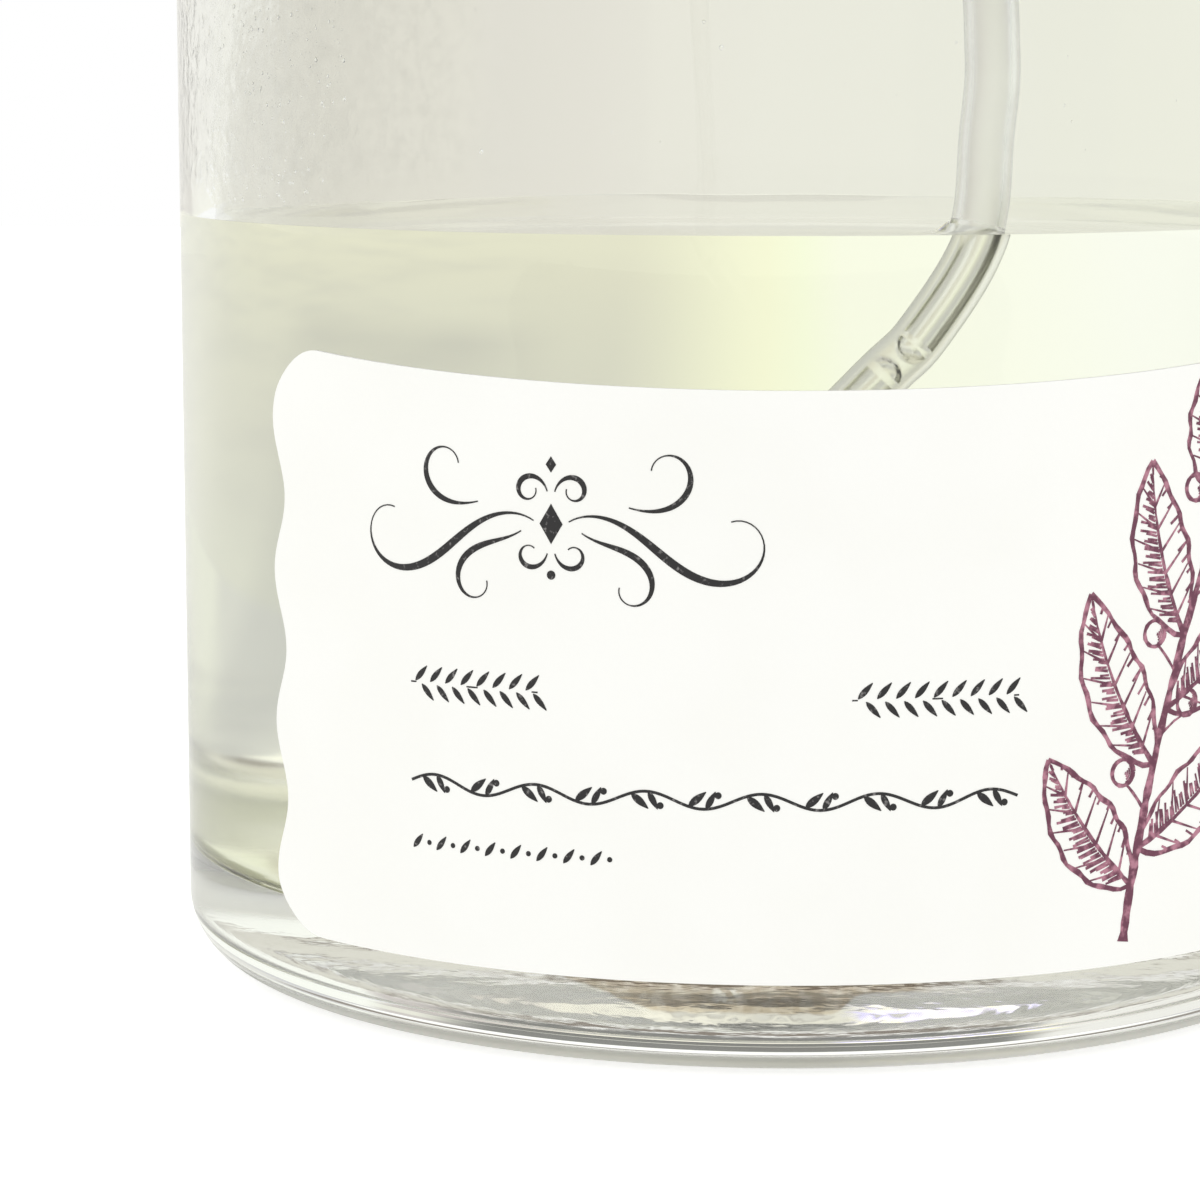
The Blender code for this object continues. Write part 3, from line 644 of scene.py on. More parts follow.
dry_glass, shader = clear("flint_glass", GLASS_IOR, GLASS_TONE)
tree = dry_glass.node_tree
spot = coordinates(tree)
x, y, z = axes(tree, spot)
mottle = ramp(tree, cloudy(tree, spot, 1300.0, 4.0), 0.4, 0.7)
smudges = ramp(tree, cloudy(tree, spot, 190.0, 3.0), 0.5, 0.75)
film = both(tree, ramp(tree, x, -12.0 * MM, -18.0 * MM), ramp(tree, z, FILM_BOTTOM, FILM_BOTTOM + 2.0 * MM))
filmed = both(tree, film, mottle)
# Painted brown shade: in front below the label the glass is tinted brown in mottled tones, standing in for
# shade seen through the base. Its lower edge rises at both sides and wavers.
brown_shade_edge = BROWN_SHADE_BOTTOM
for rise, height in (
    (ramp(tree, x, 2.4 * MM, 3.6 * MM), 0.75 * MM),
    (ramp(tree, x, -4.2 * MM, -8.0 * MM, "LINEAR"), 1.2 * MM),
    (cloudy(tree, spot, 1500.0, 3.0), 0.3 * MM),
):
    brown_shade_edge = math_node(tree, "MULTIPLY_ADD", rise, height, brown_shade_edge)
above_edge = math_node(tree, "SUBTRACT", z, brown_shade_edge)
brown_shade = both(tree, ramp(tree, y, -10.0 * MM, -12.0 * MM), ramp(tree, above_edge, 0.05 * MM, 0.2 * MM),
             ramp(tree, z, BROWN_SHADE_TOP, BROWN_SHADE_TOP - 1.0 * MM),
             band(tree, x, -8.4 * MM, -7.4 * MM, 5.2 * MM, 7.0 * MM))
# A small painted highlight: a pale warm spot in the painted brown shade, broken up by noise.
painted_highlight = both(tree, band(tree, x, -2.1 * MM, -1.8 * MM, -1.2 * MM, -0.7 * MM),
             band(tree, z, 3.0 * MM, 3.15 * MM, 3.5 * MM, 3.7 * MM),
             ramp(tree, cloudy(tree, spot, 3200.0, 2.0), 0.42, 0.52))
brown_shade_tone = mix_colour(tree, ramp(tree, cloudy(tree, spot, 2400.0, 4.0), 0.4, 0.65), BROWN_SHADE_DARK, BROWN_SHADE_LIGHT)
# The heel's rim below 1 mm is scuffed, which dulls it, and carries a painted grey shade, dark in front and
# pale at the back.
scuffed_and_shaded = ramp(tree, z, SCUFFED_AND_SHADED_TOP, SCUFFED_AND_SHADED_TOP - 0.2 * MM)
heel_shade_tone = mix_colour(tree, ramp(tree, y, -4.0 * MM, -9.0 * MM), HEEL_SHADE_BACK, HEEL_SHADE_FRONT)
brown_shade_tone = mix_colour(tree, painted_highlight, brown_shade_tone, PAINTED_HIGHLIGHT_TONE)
link(tree, layered(tree, GLASS_TONE, (filmed, FILM_TONE), (brown_shade, brown_shade_tone), (scuffed_and_shaded, heel_shade_tone)),
     shader.inputs["Base Color"])
dullness = math_node(tree, "MULTIPLY", smudges, SMUDGE_DULLNESS)
for mask, more in ((filmed, FILM_DULLNESS), (scuffed_and_shaded, SCUFF_DULLNESS)):
    dullness = math_node(tree, "MULTIPLY_ADD", mask, more, dullness)
link(tree, dullness, shader.inputs["Roughness"])
relief(dry_glass, shader, mottle, FILM_DEPTH, Strength=film)

wet_glass, shader = clear("flint_glass_wet", GLASS_IOR / PERFUME_IOR)
tree = wet_glass.node_tree
_, _, z = axes(tree, coordinates(tree))
low_wall = both(tree, ramp(tree, z, 13.0 * MM, 8.0 * MM), ramp(tree, z, 4.85 * MM, 5.1 * MM))
dulled(wet_glass, shader, low_wall, WET_DULLNESS, 0.0)

base_glass, shader = clear("flint_glass_base", GLASS_IOR, GLASS_TONE)
tree = base_glass.node_tree
spot = coordinates(tree)
x, y, _ = axes(tree, spot)
relief(base_glass, shader, cloudy(tree, spot, 420.0, 3.0), RIPPLE_DEPTH)
left_back = both(tree, ramp(tree, x, -6.0 * MM, -9.0 * MM), ramp(tree, y, 3.0 * MM, 7.0 * MM))
dulled(base_glass, shader, left_back, BACK_DULLNESS, BASE_DULLNESS)

bottle_glass = turned("bottle_glass", outer_wall() + inner_wall(), dry_glass, BODY_STEPS)
bottle_glass.data.materials.append(wet_glass)
bottle_glass.data.materials.append(base_glass)
for face in bottle_glass.data.polygons:
    from_axis = face.center.xy.length
    inside = from_axis < BODY_RADIUS - WALL_THICKNESS + 0.05 * MM
    if inside and BASE_THICKNESS - 0.1 * MM < face.center.z < LIQUID_LEVEL + WALL_MENISCUS:
        face.material_index = 1
    elif face.center.z < PUSH_UP_HEIGHT and from_axis < BODY_RADIUS - HEEL_RADIUS:
        face.material_index = 2
blow(bottle_glass.data)
fit(bottle_glass, "bottle", "glass_bottle")

# Dip tube. A natural polyethylene capillary, 2 mm outside, that springs out of the pump, leans on the front
# of the wall and runs down to the floor. Its bore holds air, a plug of perfume, an air bubble and perfume.
TUBE_RADIUS = 1.0 * MM
TUBE_BORE = 0.68 * MM
TUBE_ROUTE = [
    (0.0, 0.0, 63.0),
    (0.0, 0.0, 60.6),
    (0.1, -0.2, 58.6),
    (1.6, -3.2, 54.2),
    (5.2, -10.2, 48.2),
    (7.6, -16.2, 42.4),
    (8.0, -19.0, 38.0),
    (7.8, -19.7, 35.0),
    (7.4, -19.9, 31.2),
    (5.4, -20.5, 27.7),
    (3.6, -20.9, 25.8),
    (-2.0, -20.9, 19.8),
    (-8.2, -19.2, 13.4),
    (-13.0, -16.0, 8.2),
    (-14.2, -15.0, 6.9),
]
TUBE_SIDES = 40
TUBE_STEPS = 240
PLUG_TOP = 27.3 * MM
BUBBLE_TOP = 26.1 * MM
BUBBLE_BOTTOM = 22.4 * MM
WET_MARGIN = 0.4 * MM
TUBE_TINT = (0.985, 0.985, 0.975)
TUBE_IOR = 1.5
TUBE_RELIEF = 0.004 * MM
HAZE_DULLNESS = 0.12
DRY_TUBE_DULLNESS = 0.12
WET_TUBE_DULLNESS = 0.28


def smooth_route(points, count):
    """Evenly spaced points on a Catmull-Rom curve through the route's own points."""
    knots = [Vector(p) * MM for p in points]
    knots = [2 * knots[0] - knots[1]] + knots + [2 * knots[-1] - knots[-2]]
    fine = []
    for a, b, c, d in zip(knots, knots[1:], knots[2:], knots[3:]):
        for i in range(48):
            t = i / 48
            bend = (2 * a - 5 * b + 4 * c - d) * t**2 + (3 * b - 3 * c + d - a) * t**3
            fine.append(b + 0.5 * ((c - a) * t + bend))
    fine.append(knots[-2])
    travelled = [0.0]
    for p, q in zip(fine, fine[1:]):
        travelled.append(travelled[-1] + (q - p).length)
    even, at = [], 0
    for i in range(count):
        target = travelled[-1] * i / (count - 1)
        while at < len(fine) - 2 and travelled[at + 1] < target:
            at += 1
        share = (target - travelled[at]) / (travelled[at + 1] - travelled[at])
        even.append(fine[at].lerp(fine[at + 1], min(share, 1.0)))
    return even


def rings_along(bm, path, radii, sides):
    """Rings of vertices square to the path, each turned as little as possible from the last."""
    rings = []
    side = None
    for i, point in enumerate(path):
        along = (path[min(i + 1, len(path) - 1)] - path[max(i - 1, 0)]).normalized()
        side = along.orthogonal() if side is None else side - side.dot(along) * along
        side.normalize()
        other = along.cross(side)
        ring = []
        for k in range(sides):
            angle = math.tau * k / sides
            ring.append(bm.verts.new(point + radii[i] * (math.cos(angle) * side + math.sin(angle) * other)))
        rings.append(ring)
    return rings


def skin(bm, lower, upper, finish=0):
    """Faces between two rings of the same length."""
    for k in range(len(lower)):
        following = (k + 1) % len(lower)
        bm.faces.new((lower[k], lower[following], upper[following], upper[k])).material_index = finish


def rod(bm, path, radius, sides):
    """The side faces of a rod along a path, and the rings that they join."""
    rings = rings_along(bm, path, [radius] * len(path), sides)
    for lower, upper in zip(rings, rings[1:]):
        skin(bm, lower, upper)
    return rings


def meshed(name, bm, *finishes):
    """An object from a closed bmesh, with its faces turned outwards."""
    bmesh.ops.recalc_face_normals(bm, faces=bm.faces)
    mesh = bpy.data.meshes.new(name)
    bm.to_mesh(mesh)
    bm.free()
    for finish in finishes:
        mesh.materials.append(finish)
    return add_object(name, mesh)


def natural_plastic(name, dullness, ior):
    """Hazy, unpigmented polyethylene."""
    finish, shader = principled(name, TUBE_TINT, dullness, transmission=1.0, ior=ior)
    haze = cloudy(finish.node_tree, coordinates(finish.node_tree), 900.0, 3.0)
    dulled(finish, shader, haze, HAZE_DULLNESS, dullness)
    relief(finish, shader, haze, TUBE_RELIEF)
    return finish


tube_dry = natural_plastic("tube_plastic", DRY_TUBE_DULLNESS, TUBE_IOR)
tube_wet = natural_plastic("tube_plastic_wet", WET_TUBE_DULLNESS, TUBE_IOR / PERFUME_IOR)
tube_path = smooth_route(TUBE_ROUTE, TUBE_STEPS)
bm = bmesh.new()
outside = rings_along(bm, tube_path, [TUBE_RADIUS] * TUBE_STEPS, TUBE_SIDES)
bore = rings_along(bm, tube_path, [TUBE_BORE] * TUBE_STEPS, TUBE_SIDES)
for i in range(TUBE_STEPS - 1):
    height = (tube_path[i].z + tube_path[i + 1].z) / 2
    full = BUBBLE_TOP < height < PLUG_TOP or height < BUBBLE_BOTTOM
    skin(bm, outside[i], outside[i + 1], int(height < LIQUID_LEVEL + WET_MARGIN))
    skin(bm, bore[i], bore[i + 1], int(full))
skin(bm, outside[0], bore[0])
skin(bm, outside[-1], bore[-1], 1)
fit(meshed("dip_tube_fine", bm, tube_dry, tube_wet), "bottle", "dip_tube")

# Perfume. Pale yellow alcohol with a level top that creeps up the wall and the dip tube. Its side faces only
# tint the light, because the wet faces of glass and tube already bend it; its top bends it.
MENISCUS_REACH = 0.35 * MM
TUBE_MENISCUS = 0.5 * MM
PERFUME_INSET = 0.02 * MM
SURFACE_RIPPLES = 0.015 * MM
SURFACE_RIM = 5.0 * MM
FINE_SURFACE = 3.6 * MM
PERFUME_COLOUR = (0.98, 0.985, 0.875)


def on_surface(point):
    return abs(point.z - LIQUID_LEVEL) < 1e-6


def drilled(made, path, radius, sides, finish, **settings):
    """Drills a hole along a path through a piece."""
    bm = bmesh.new()
    rings = rod(bm, path, radius, sides)
    bm.faces.new(rings[0])
    bm.faces.new(rings[-1])
    drill = meshed("drill", bm, finish)
    modifier = made.modifiers.new("drilled", "BOOLEAN")
    modifier.operation = "DIFFERENCE"
    modifier.object = drill
    for name, value in settings.items():
        setattr(modifier, name, value)
    made.data = bpy.data.meshes.new_from_object(made.evaluated_get(bpy.context.evaluated_depsgraph_get()))
    made.modifiers.clear()
    bpy.data.objects.remove(drill)


perfume_side, _ = clear("perfume_liquid", 1.0, PERFUME_COLOUR)
perfume_at_tube, _ = clear("perfume_at_tube", 1.0)
perfume_surface, shader = clear("perfume_surface", PERFUME_IOR)
tree = perfume_surface.node_tree
relief(perfume_surface, shader, cloudy(tree, coordinates(tree), 420.0), SURFACE_RIPPLES)

wall_radius = BODY_RADIUS - WALL_THICKNESS - PERFUME_INSET
side = [p for p in inner_wall(PERFUME_INSET) if p[1] < LIQUID_LEVEL]
top = [((wall_radius - SURFACE_RIM) * i / 12, LIQUID_LEVEL) for i in range(12)]
top += [(wall_radius - SURFACE_RIM * (1 - i / 20) ** 1.6, LIQUID_LEVEL) for i in range(21)]
perfume = turned("perfume_fill", top + side, perfume_side, BODY_STEPS)
crossing = min(tube_path, key=lambda p: abs(p.z - LIQUID_LEVEL))
bm = bmesh.new()
bm.from_mesh(perfume.data)
near = [e for e in bm.edges
        if all(on_surface(v.co) and (v.co - crossing).length < FINE_SURFACE for v in e.verts)]
bmesh.ops.subdivide_edges(bm, edges=near, cuts=2, use_grid_fill=True)
bm.to_mesh(perfume.data)
bm.free()
drill_end = tube_path[-1] + (tube_path[-1] - tube_path[-2]).normalized() * PERFUME_INSET
drilled(perfume, tube_path + [drill_end], TUBE_RADIUS + PERFUME_INSET, TUBE_SIDES, perfume_at_tube,
        material_mode="TRANSFER")
if len(perfume.data.materials) < 2:
    perfume.data.materials.append(perfume_at_tube)
perfume.data.materials.append(perfume_surface)
bm = bmesh.new()
bm.from_mesh(perfume.data)
for face in bm.faces:
    middle = face.calc_center_median()
    if all(on_surface(v.co) for v in face.verts):
        face.material_index = 2
    elif min((middle - p).length for p in tube_path[::4]) < TUBE_RADIUS + 0.6 * MM:
        face.material_index = 1
    else:
        face.material_index = 0
above = min((p for p in tube_path if p.z > crossing.z + 1.0 * MM), key=lambda p: p.z)
lean = (above - crossing).normalized()
for vert in bm.verts:
    if not on_surface(vert.co):
        continue
    to_wall = max(0.0, wall_radius - vert.co.xy.length)
    offset = vert.co - crossing
    to_tube = max(0.0, offset.cross(lean).length - TUBE_RADIUS)
    rise = WALL_MENISCUS * math.exp(-to_wall / MENISCUS_REACH)
    rise += TUBE_MENISCUS * (0.55 - 0.45 * offset.normalized().x) * math.exp(-to_tube / MENISCUS_REACH)
    close_by = math.exp(-to_tube / (0.5 * MENISCUS_REACH))
    vert.co += Vector((lean.x / lean.z * close_by, lean.y / lean.z * close_by, 1.0)) * rise
bmesh.ops.triangulate(bm, faces=[f for f in bm.faces if len(f.verts) > 4])
bm.to_mesh(perfume.data)
bm.free()
blow(perfume.data)
fit(perfume, "bottle", "perfume", sharp=50.0)

# Plug of perfume in the bore. The capillary keeps a short column of liquid between two hollow menisci; below
# the bubble the bore is full again.
PLUG_RADIUS = TUBE_BORE - 0.01 * MM
PLUG_SIDES = 24
HOLLOW_DEPTH = 0.8 * PLUG_RADIUS
HOLLOW_STEPS = 6


def liquid_plug(name, high, low):
    """A rod of liquid in the bore between two heights, with hollow ends."""
    path = [p for p in tube_path if low < p.z < high]
    bm = bmesh.new()
    rings = rod(bm, path, PLUG_RADIUS, PLUG_SIDES)
    for end, centre, following in ((rings[0], path[0], path[1]), (rings[-1], path[-1], path[-2])):
        sunk = (following - centre).normalized() * HOLLOW_DEPTH
        last = end
        for i in range(1, HOLLOW_STEPS):
            tilt = math.pi / 2 * i / HOLLOW_STEPS
            ring = [bm.verts.new(centre + (v.co - centre) * math.cos(tilt) + sunk * math.sin(tilt))
                    for v in end]
            skin(bm, last, ring, 1)
            last = ring
        tip = bm.verts.new(centre + sunk)
        for k in range(PLUG_SIDES):
            bm.faces.new((last[k], last[(k + 1) % PLUG_SIDES], tip)).material_index = 1
    fit(meshed(name, bm, perfume_at_tube, perfume_surface), "bottle")


liquid_plug("perfume_in_bore_upper", PLUG_TOP, BUBBLE_TOP)
liquid_plug("perfume_in_bore_lower", BUBBLE_BOTTOM, tube_path[-1].z + 0.1 * MM)

# Label. Uncoated white paper, stuck round the front with wavy die-cut side edges, rounded corners and a top
# edge that sags in the middle: it rises by the sag times the square of the distance from its middle.
LABEL_SEAT = -0.01 * MM
LABEL_THICKNESS = 0.15 * MM
LABEL_CENTRE = 1.0 * MM
LABEL_HALF_WIDTH = 22.45 * MM
LABEL_BOTTOM = 3.8 * MM
LABEL_TOP = 25.85 * MM
LABEL_TOP_SAG = 2.2
LABEL_CORNER = 2.2 * MM
LABEL_COLUMNS = 140
LABEL_ROWS = 80
WAVE_HEIGHT = 0.38 * MM
WAVE_LENGTH = 5.95 * MM
WAVE_CREST = 18.0 * MM
PAPER_TONE = (0.945, 0.945, 0.925)
PAPER_CLOUDS = (0.932, 0.931, 0.905)
PAPER_RELIEF = 0.02 * MM
LABEL_CORNER_TOP = LABEL_TOP + LABEL_TOP_SAG * LABEL_HALF_WIDTH**2


def label_half_width(z):
    """Half the label's width at a height: waved, with a rounded corner at the top and at the bottom."""
    wave = WAVE_HEIGHT * math.cos(math.tau * (z - WAVE_CREST) / WAVE_LENGTH)
    to_edge = min(z - LABEL_BOTTOM, LABEL_CORNER_TOP - z)
    rounding = 0.0
    if to_edge < LABEL_CORNER:
        rounding = LABEL_CORNER - math.sqrt(max(0.0, LABEL_CORNER**2 - (LABEL_CORNER - to_edge) ** 2))
    return LABEL_HALF_WIDTH + wave - rounding


def label_rows():
    """Rows of (u, z) points that fill the label, with shorter steps in the rounded corners."""
    heights = [LABEL_BOTTOM + LABEL_CORNER * (1 - math.cos(math.radians(a))) for a in range(0, 90, 6)]
    tops = [LABEL_CORNER_TOP - (z - LABEL_BOTTOM) for z in reversed(heights)]
    straight = LABEL_CORNER_TOP - LABEL_BOTTOM - 2 * LABEL_CORNER
    heights += [LABEL_BOTTOM + LABEL_CORNER + straight * i / LABEL_ROWS for i in range(LABEL_ROWS + 1)]
    rows = []
    for height in heights + tops:
        share = (height - LABEL_BOTTOM) / (LABEL_CORNER_TOP - LABEL_BOTTOM)
        half = label_half_width(height)
        row = []
        for i in range(LABEL_COLUMNS + 1):
            from_middle = half * (2 * i / LABEL_COLUMNS - 1)
            top_here = LABEL_TOP + LABEL_TOP_SAG * from_middle**2
            row.append((LABEL_CENTRE + from_middle, LABEL_BOTTOM + share * (top_here - LABEL_BOTTOM)))
        rows.append(row)
    return rows


def on_wall(u, z, distance):
    """A point of the unrolled wall, at a distance outside the glass."""
    angle = u / BODY_RADIUS
    radius = BODY_RADIUS + distance
    return (radius * math.sin(angle), -radius * math.cos(angle), z)


grain = bpy.data.node_groups.new("surface_grain", "ShaderNodeTree")
for label, start in (("Scale", 800.0), ("Stretch", 1.0), ("Detail", 4.0)):
    grain.interface.new_socket(label, in_out="INPUT", socket_type="NodeSocketFloat").default_value = start
grain.interface.new_socket("Grain", in_out="OUTPUT", socket_type="NodeSocketFloat")
given = grain.nodes.new("NodeGroupInput").outputs
stretch = placed(grain, "ShaderNodeCombineXYZ", X=1.0, Y=1.0, Z=given["Stretch"])
stretched = vector_math(grain, "MULTIPLY", coordinates(grain), stretch.outputs[0])["Vector"]
speckle = placed(grain, "ShaderNodeTexNoise", Vector=stretched, Scale=given["Scale"], Detail=given["Detail"])
link(grain, speckle.outputs[0], grain.nodes.new("NodeGroupOutput").inputs[0])


def grained(tree, scale, stretch=1.0, detail=4.0):
    """The surface grain, from 0 to 1, at a number of speckles per metre."""
    node = tree.nodes.new("ShaderNodeGroup")
    node.node_tree = grain
    for name, value in (("Scale", scale), ("Stretch", stretch), ("Detail", detail)):
        node.inputs[name].default_value = value
    return node.outputs["Grain"]


paper, shader = principled("label_paper", PAPER_TONE, 0.7)
relief(paper, shader, grained(paper.node_tree, 2400.0), PAPER_RELIEF)
clouds = ramp(paper.node_tree, grained(paper.node_tree, 160.0, 1.0, 2.0), 0.35, 0.7)
toned(paper, shader, clouds, PAPER_TONE, PAPER_CLOUDS)
bm = bmesh.new()
sheets = []
for distance in (LABEL_SEAT, LABEL_SEAT + LABEL_THICKNESS):
    sheet = [[bm.verts.new(on_wall(u, z, distance)) for u, z in row] for row in label_rows()]
    for low, high in zip(sheet, sheet[1:]):
        for i in range(len(low) - 1):
            bm.faces.new((low[i], low[i + 1], high[i + 1], high[i]))
    edge = sheet[0][:-1] + [row[-1] for row in sheet[:-1]] + sheet[-1][:0:-1]
    sheets.append(edge + [row[0] for row in sheet[:0:-1]])
skin(bm, *sheets)
fit(meshed("label", bm, paper), "bottle", "front_label")

# Label print. Black and plum ink lies on the paper as very thin films. Pen strokes are drawn on the unrolled
# label in millimetres, given their breadth point by point, and wrapped round the wall.
INK_SINK = 0.004 * MM
INK_RISE = 0.012 * MM
THINNEST_LINE = 0.02
PAPER_RADIUS = BODY_RADIUS + LABEL_SEAT + LABEL_THICKNESS

press, given, close = modelling_tree("printed_strokes", {"Wall Radius": "Float", "Sink": "Float",
                                                         "Rise": "Float"})
strokes = placed(press, "GeometryNodeMeshToCurve", Mesh=given["Geometry"])
level = placed(press, "GeometryNodeSetCurveNormal", Curve=strokes.outputs[0])
level.mode = "Z_UP"
nib = placed(press, "GeometryNodeCurvePrimitiveQuadrilateral", Width=1.0, Height=0.02)
breadth = placed(press, "GeometryNodeInputNamedAttribute", Name="breadth")
breadth.data_type = "FLOAT"
flat_ink = placed(press, "GeometryNodeCurveToMesh", Curve=level.outputs[0], Profile_Curve=nib.outputs[0],
                  Scale=breadth.outputs[0], Fill_Caps=True)
along, up, rise = axes(press, press.nodes.new("GeometryNodeInputPosition").outputs[0])
deep = math_node(press, "SUBTRACT", given["Wall Radius"], given["Sink"])
film_depth = math_node(press, "ADD", given["Rise"], given["Sink"])
reach = math_node(press, "MULTIPLY_ADD", math_node(press, "GREATER_THAN", rise, 0.0), film_depth, deep)
turn = math_node(press, "DIVIDE", along, given["Wall Radius"])
wrapped = placed(press, "ShaderNodeCombineXYZ", Z=up,
                 X=math_node(press, "MULTIPLY", math_node(press, "SINE", turn), reach),
                 Y=math_node(press, "MULTIPLY", math_node(press, "COSINE", turn),
                             math_node(press, "MULTIPLY", reach, -1.0)))
on_paper = placed(press, "GeometryNodeSetPosition", Geometry=flat_ink.outputs[0], Position=wrapped.outputs[0])
close(on_paper.outputs[0])


def printed(name, strokes, ink):
    """Prints strokes, each a list of (u, z, breadth) points in millimetres, on the label."""
    mesh = bpy.data.meshes.new(name)
    points, edges, breadths = [], [], []
    for stroke in strokes:
        first = len(points)
        for u, z, breadth in stroke:
            points.append((u * MM, z * MM, 0.0))
            breadths.append(max(breadth, THINNEST_LINE) * MM)
        edges += [(i, i + 1) for i in range(first, len(points) - 1)]
    mesh.from_pydata(points, edges, [])
    mesh.attributes.new("breadth", "FLOAT", "POINT").data.foreach_set("value", breadths)
    made = grown(name, mesh, press, Wall_Radius=PAPER_RADIUS, Sink=INK_SINK, Rise=INK_RISE, Finish=ink)
    face_outwards(made.data)
    return fit(made, "bottle", sharp=30.0)


def worn_ink(name, roughness, solid, worn, speckles, first_worn, last_worn):
    """Ink that is worn thin where its speckles come up."""
    ink, shader = principled(name, solid, roughness)
    speckled = grained(ink.node_tree, speckles, 1.0, 3.0)
    toned(ink, shader, ramp(ink.node_tree, speckled, first_worn, last_worn), solid, worn)
    return ink


def scroll(u, z, heading, first_bend, last_bend, length, breadth, steps=56):
    """A pen stroke whose bend, in degrees per millimetre, changes evenly along it."""
    stroke = []
    angle = math.radians(heading)
    for i in range(steps + 1):
        share = i / steps
        stroke.append((u, z, 0.05 + breadth * math.sin(math.pi * min(1.0, share * 1.15)) ** 1.5))
        angle += math.radians(first_bend + (last_bend - first_bend) * share) * length / steps
        u += math.cos(angle) * length / steps
        z += math.sin(angle) * length / steps
    return stroke


def mirrored(stroke, centre):
    return [(2 * centre - u, z, breadth) for u, z, breadth in stroke]


def lozenge(u, z, half_length, height):
    return [(u - half_length, z, THINNEST_LINE), (u, z, height), (u + half_length, z, THINNEST_LINE)]


def bead(u, z, radius):
    return [(u + radius * math.sin(a), z, 2 * radius * math.cos(a))
            for a in (math.radians(d) for d in range(-80, 81, 20))]


def rule(start, end, z, breadth):
    return [(start, z, breadth), ((start + end) / 2, z, breadth), (end, z, breadth)]


def leaflet(u, z, heading, length, breadth):
    """A short solid leaf-shaped stroke."""
    angle = math.radians(heading)
    return [(u + math.cos(angle) * length * s, z + math.sin(angle) * length * s,
             breadth * math.sin(math.pi * s**0.8) + 0.03)
            for s in (0.0, 0.15, 0.3, 0.45, 0.6, 0.75, 0.9, 1.0)]


FLOURISH_CENTRE = -8.15
FLOURISH_HEIGHT = 20.8
ROWS_START, ROWS_END = -14.2, 9.5
SPRIG_ROW = 14.48
SPRIG_ROWS = ((ROWS_START, -8.7), (3.1, ROWS_END))
SPRIG_SPACING = 0.72
VINE_ROW = 10.7
VINE_SWAY = 0.3
VINE_TURNS = 11
TURN_STEPS = 16
BEAD_ROW = 8.35
BEAD_ROW_LENGTH = 8.6
BEAD_COUNT = 16

ornament = []
for stroke in (
    scroll(FLOURISH_CENTRE + 0.7, FLOURISH_HEIGHT + 0.1, 35, -38, 70, 10.5, 0.26),
    scroll(FLOURISH_CENTRE + 1.2, FLOURISH_HEIGHT - 0.3, -35, 30, -120, 5.6, 0.2),
    scroll(FLOURISH_CENTRE + 3.0, FLOURISH_HEIGHT + 0.7, -15, 12, 95, 5.2, 0.18),
    scroll(FLOURISH_CENTRE + 0.15, FLOURISH_HEIGHT + 1.2, 75, -60, -190, 2.9, 0.16),
    scroll(FLOURISH_CENTRE + 0.15, FLOURISH_HEIGHT - 1.1, -75, 60, 190, 2.4, 0.14),
):
    ornament += [stroke, mirrored(stroke, FLOURISH_CENTRE)]
ornament += [
    lozenge(FLOURISH_CENTRE, FLOURISH_HEIGHT, 0.45, 1.5),
    lozenge(FLOURISH_CENTRE, FLOURISH_HEIGHT + 2.2, 0.2, 0.6),
    bead(FLOURISH_CENTRE, FLOURISH_HEIGHT - 1.9, 0.17),
]
for start, end in SPRIG_ROWS:
    count = round((end - start) / SPRIG_SPACING)
    for i in range(count):
        u = start + (end - start) * (i + 0.3) / count
        ornament.append(leaflet(u, SPRIG_ROW + 0.05, 48, 0.8, 0.2))
        ornament.append(leaflet(u + 0.3, SPRIG_ROW - 0.06, -48, 0.8, 0.2))
    ornament.append(rule(start, end, SPRIG_ROW, 0.06))
turn_length = (ROWS_END - ROWS_START) / VINE_TURNS
ornament.append([(ROWS_START + turn_length * i / TURN_STEPS,
                  VINE_ROW + VINE_SWAY * math.sin(math.pi * i / TURN_STEPS), 0.11)
                 for i in range(VINE_TURNS * TURN_STEPS + 1)])
for i in range(VINE_TURNS):
    side = 1 if i % 2 else -1
    u = ROWS_START + turn_length * (i + 0.5)
    ornament.append(leaflet(u - 0.55, VINE_ROW - 0.2 * side, 40 * side, 0.85, 0.26))
    ornament.append(leaflet(u + 0.1, VINE_ROW - 0.3 * side, 62 * side, 0.75, 0.22))
    ornament.append(bead(u + 0.55, VINE_ROW + 0.22 * side, 0.13))
for i in range(BEAD_COUNT):
    u = ROWS_START + BEAD_ROW_LENGTH * (i + 0.5) / BEAD_COUNT
    ornament.append(bead(u, BEAD_ROW, 0.1) if i % 2 else leaflet(u - 0.2, BEAD_ROW - 0.25, 52, 0.7, 0.2))

black_ink = worn_ink("black_ink", 0.5, (0.010, 0.009, 0.010), (0.20, 0.19, 0.19), 5200.0, 0.56, 0.74)
printed("label_print_black", ornament, black_ink)

# Plum drawing on the label: a leafy twig with berries in the manner of an engraving, each leaf with its
# outline, midrib, side veins and short shading lines on one half. It, too, is drawn in millimetres.
DRAWING_WEIGHT = 1.4
STEM_START = (14.2, 4.7)
STEM_HEADING = 82
STEM_DRAWN_LENGTH = 21.5
STEM_BEND = -0.9
STEM_STEPS = 60
LEAF_BREADTH = 2.7
LEAF_BEND = -3.5
LEAVES = ((6, 1, 6.4), (10, -1, 7.6), (19, 1, 7.4), (25, -1, 7.4), (33, 1, 7.0), (40, -1, 6.6), (48, 1, 5.6),
          (54, -1, 5.0))
BERRIES = ((14, 1), (22, -1), (29, 1), (37, -1), (45, 1))
BERRY_RADIUS = 0.5
hand = random.Random(23)


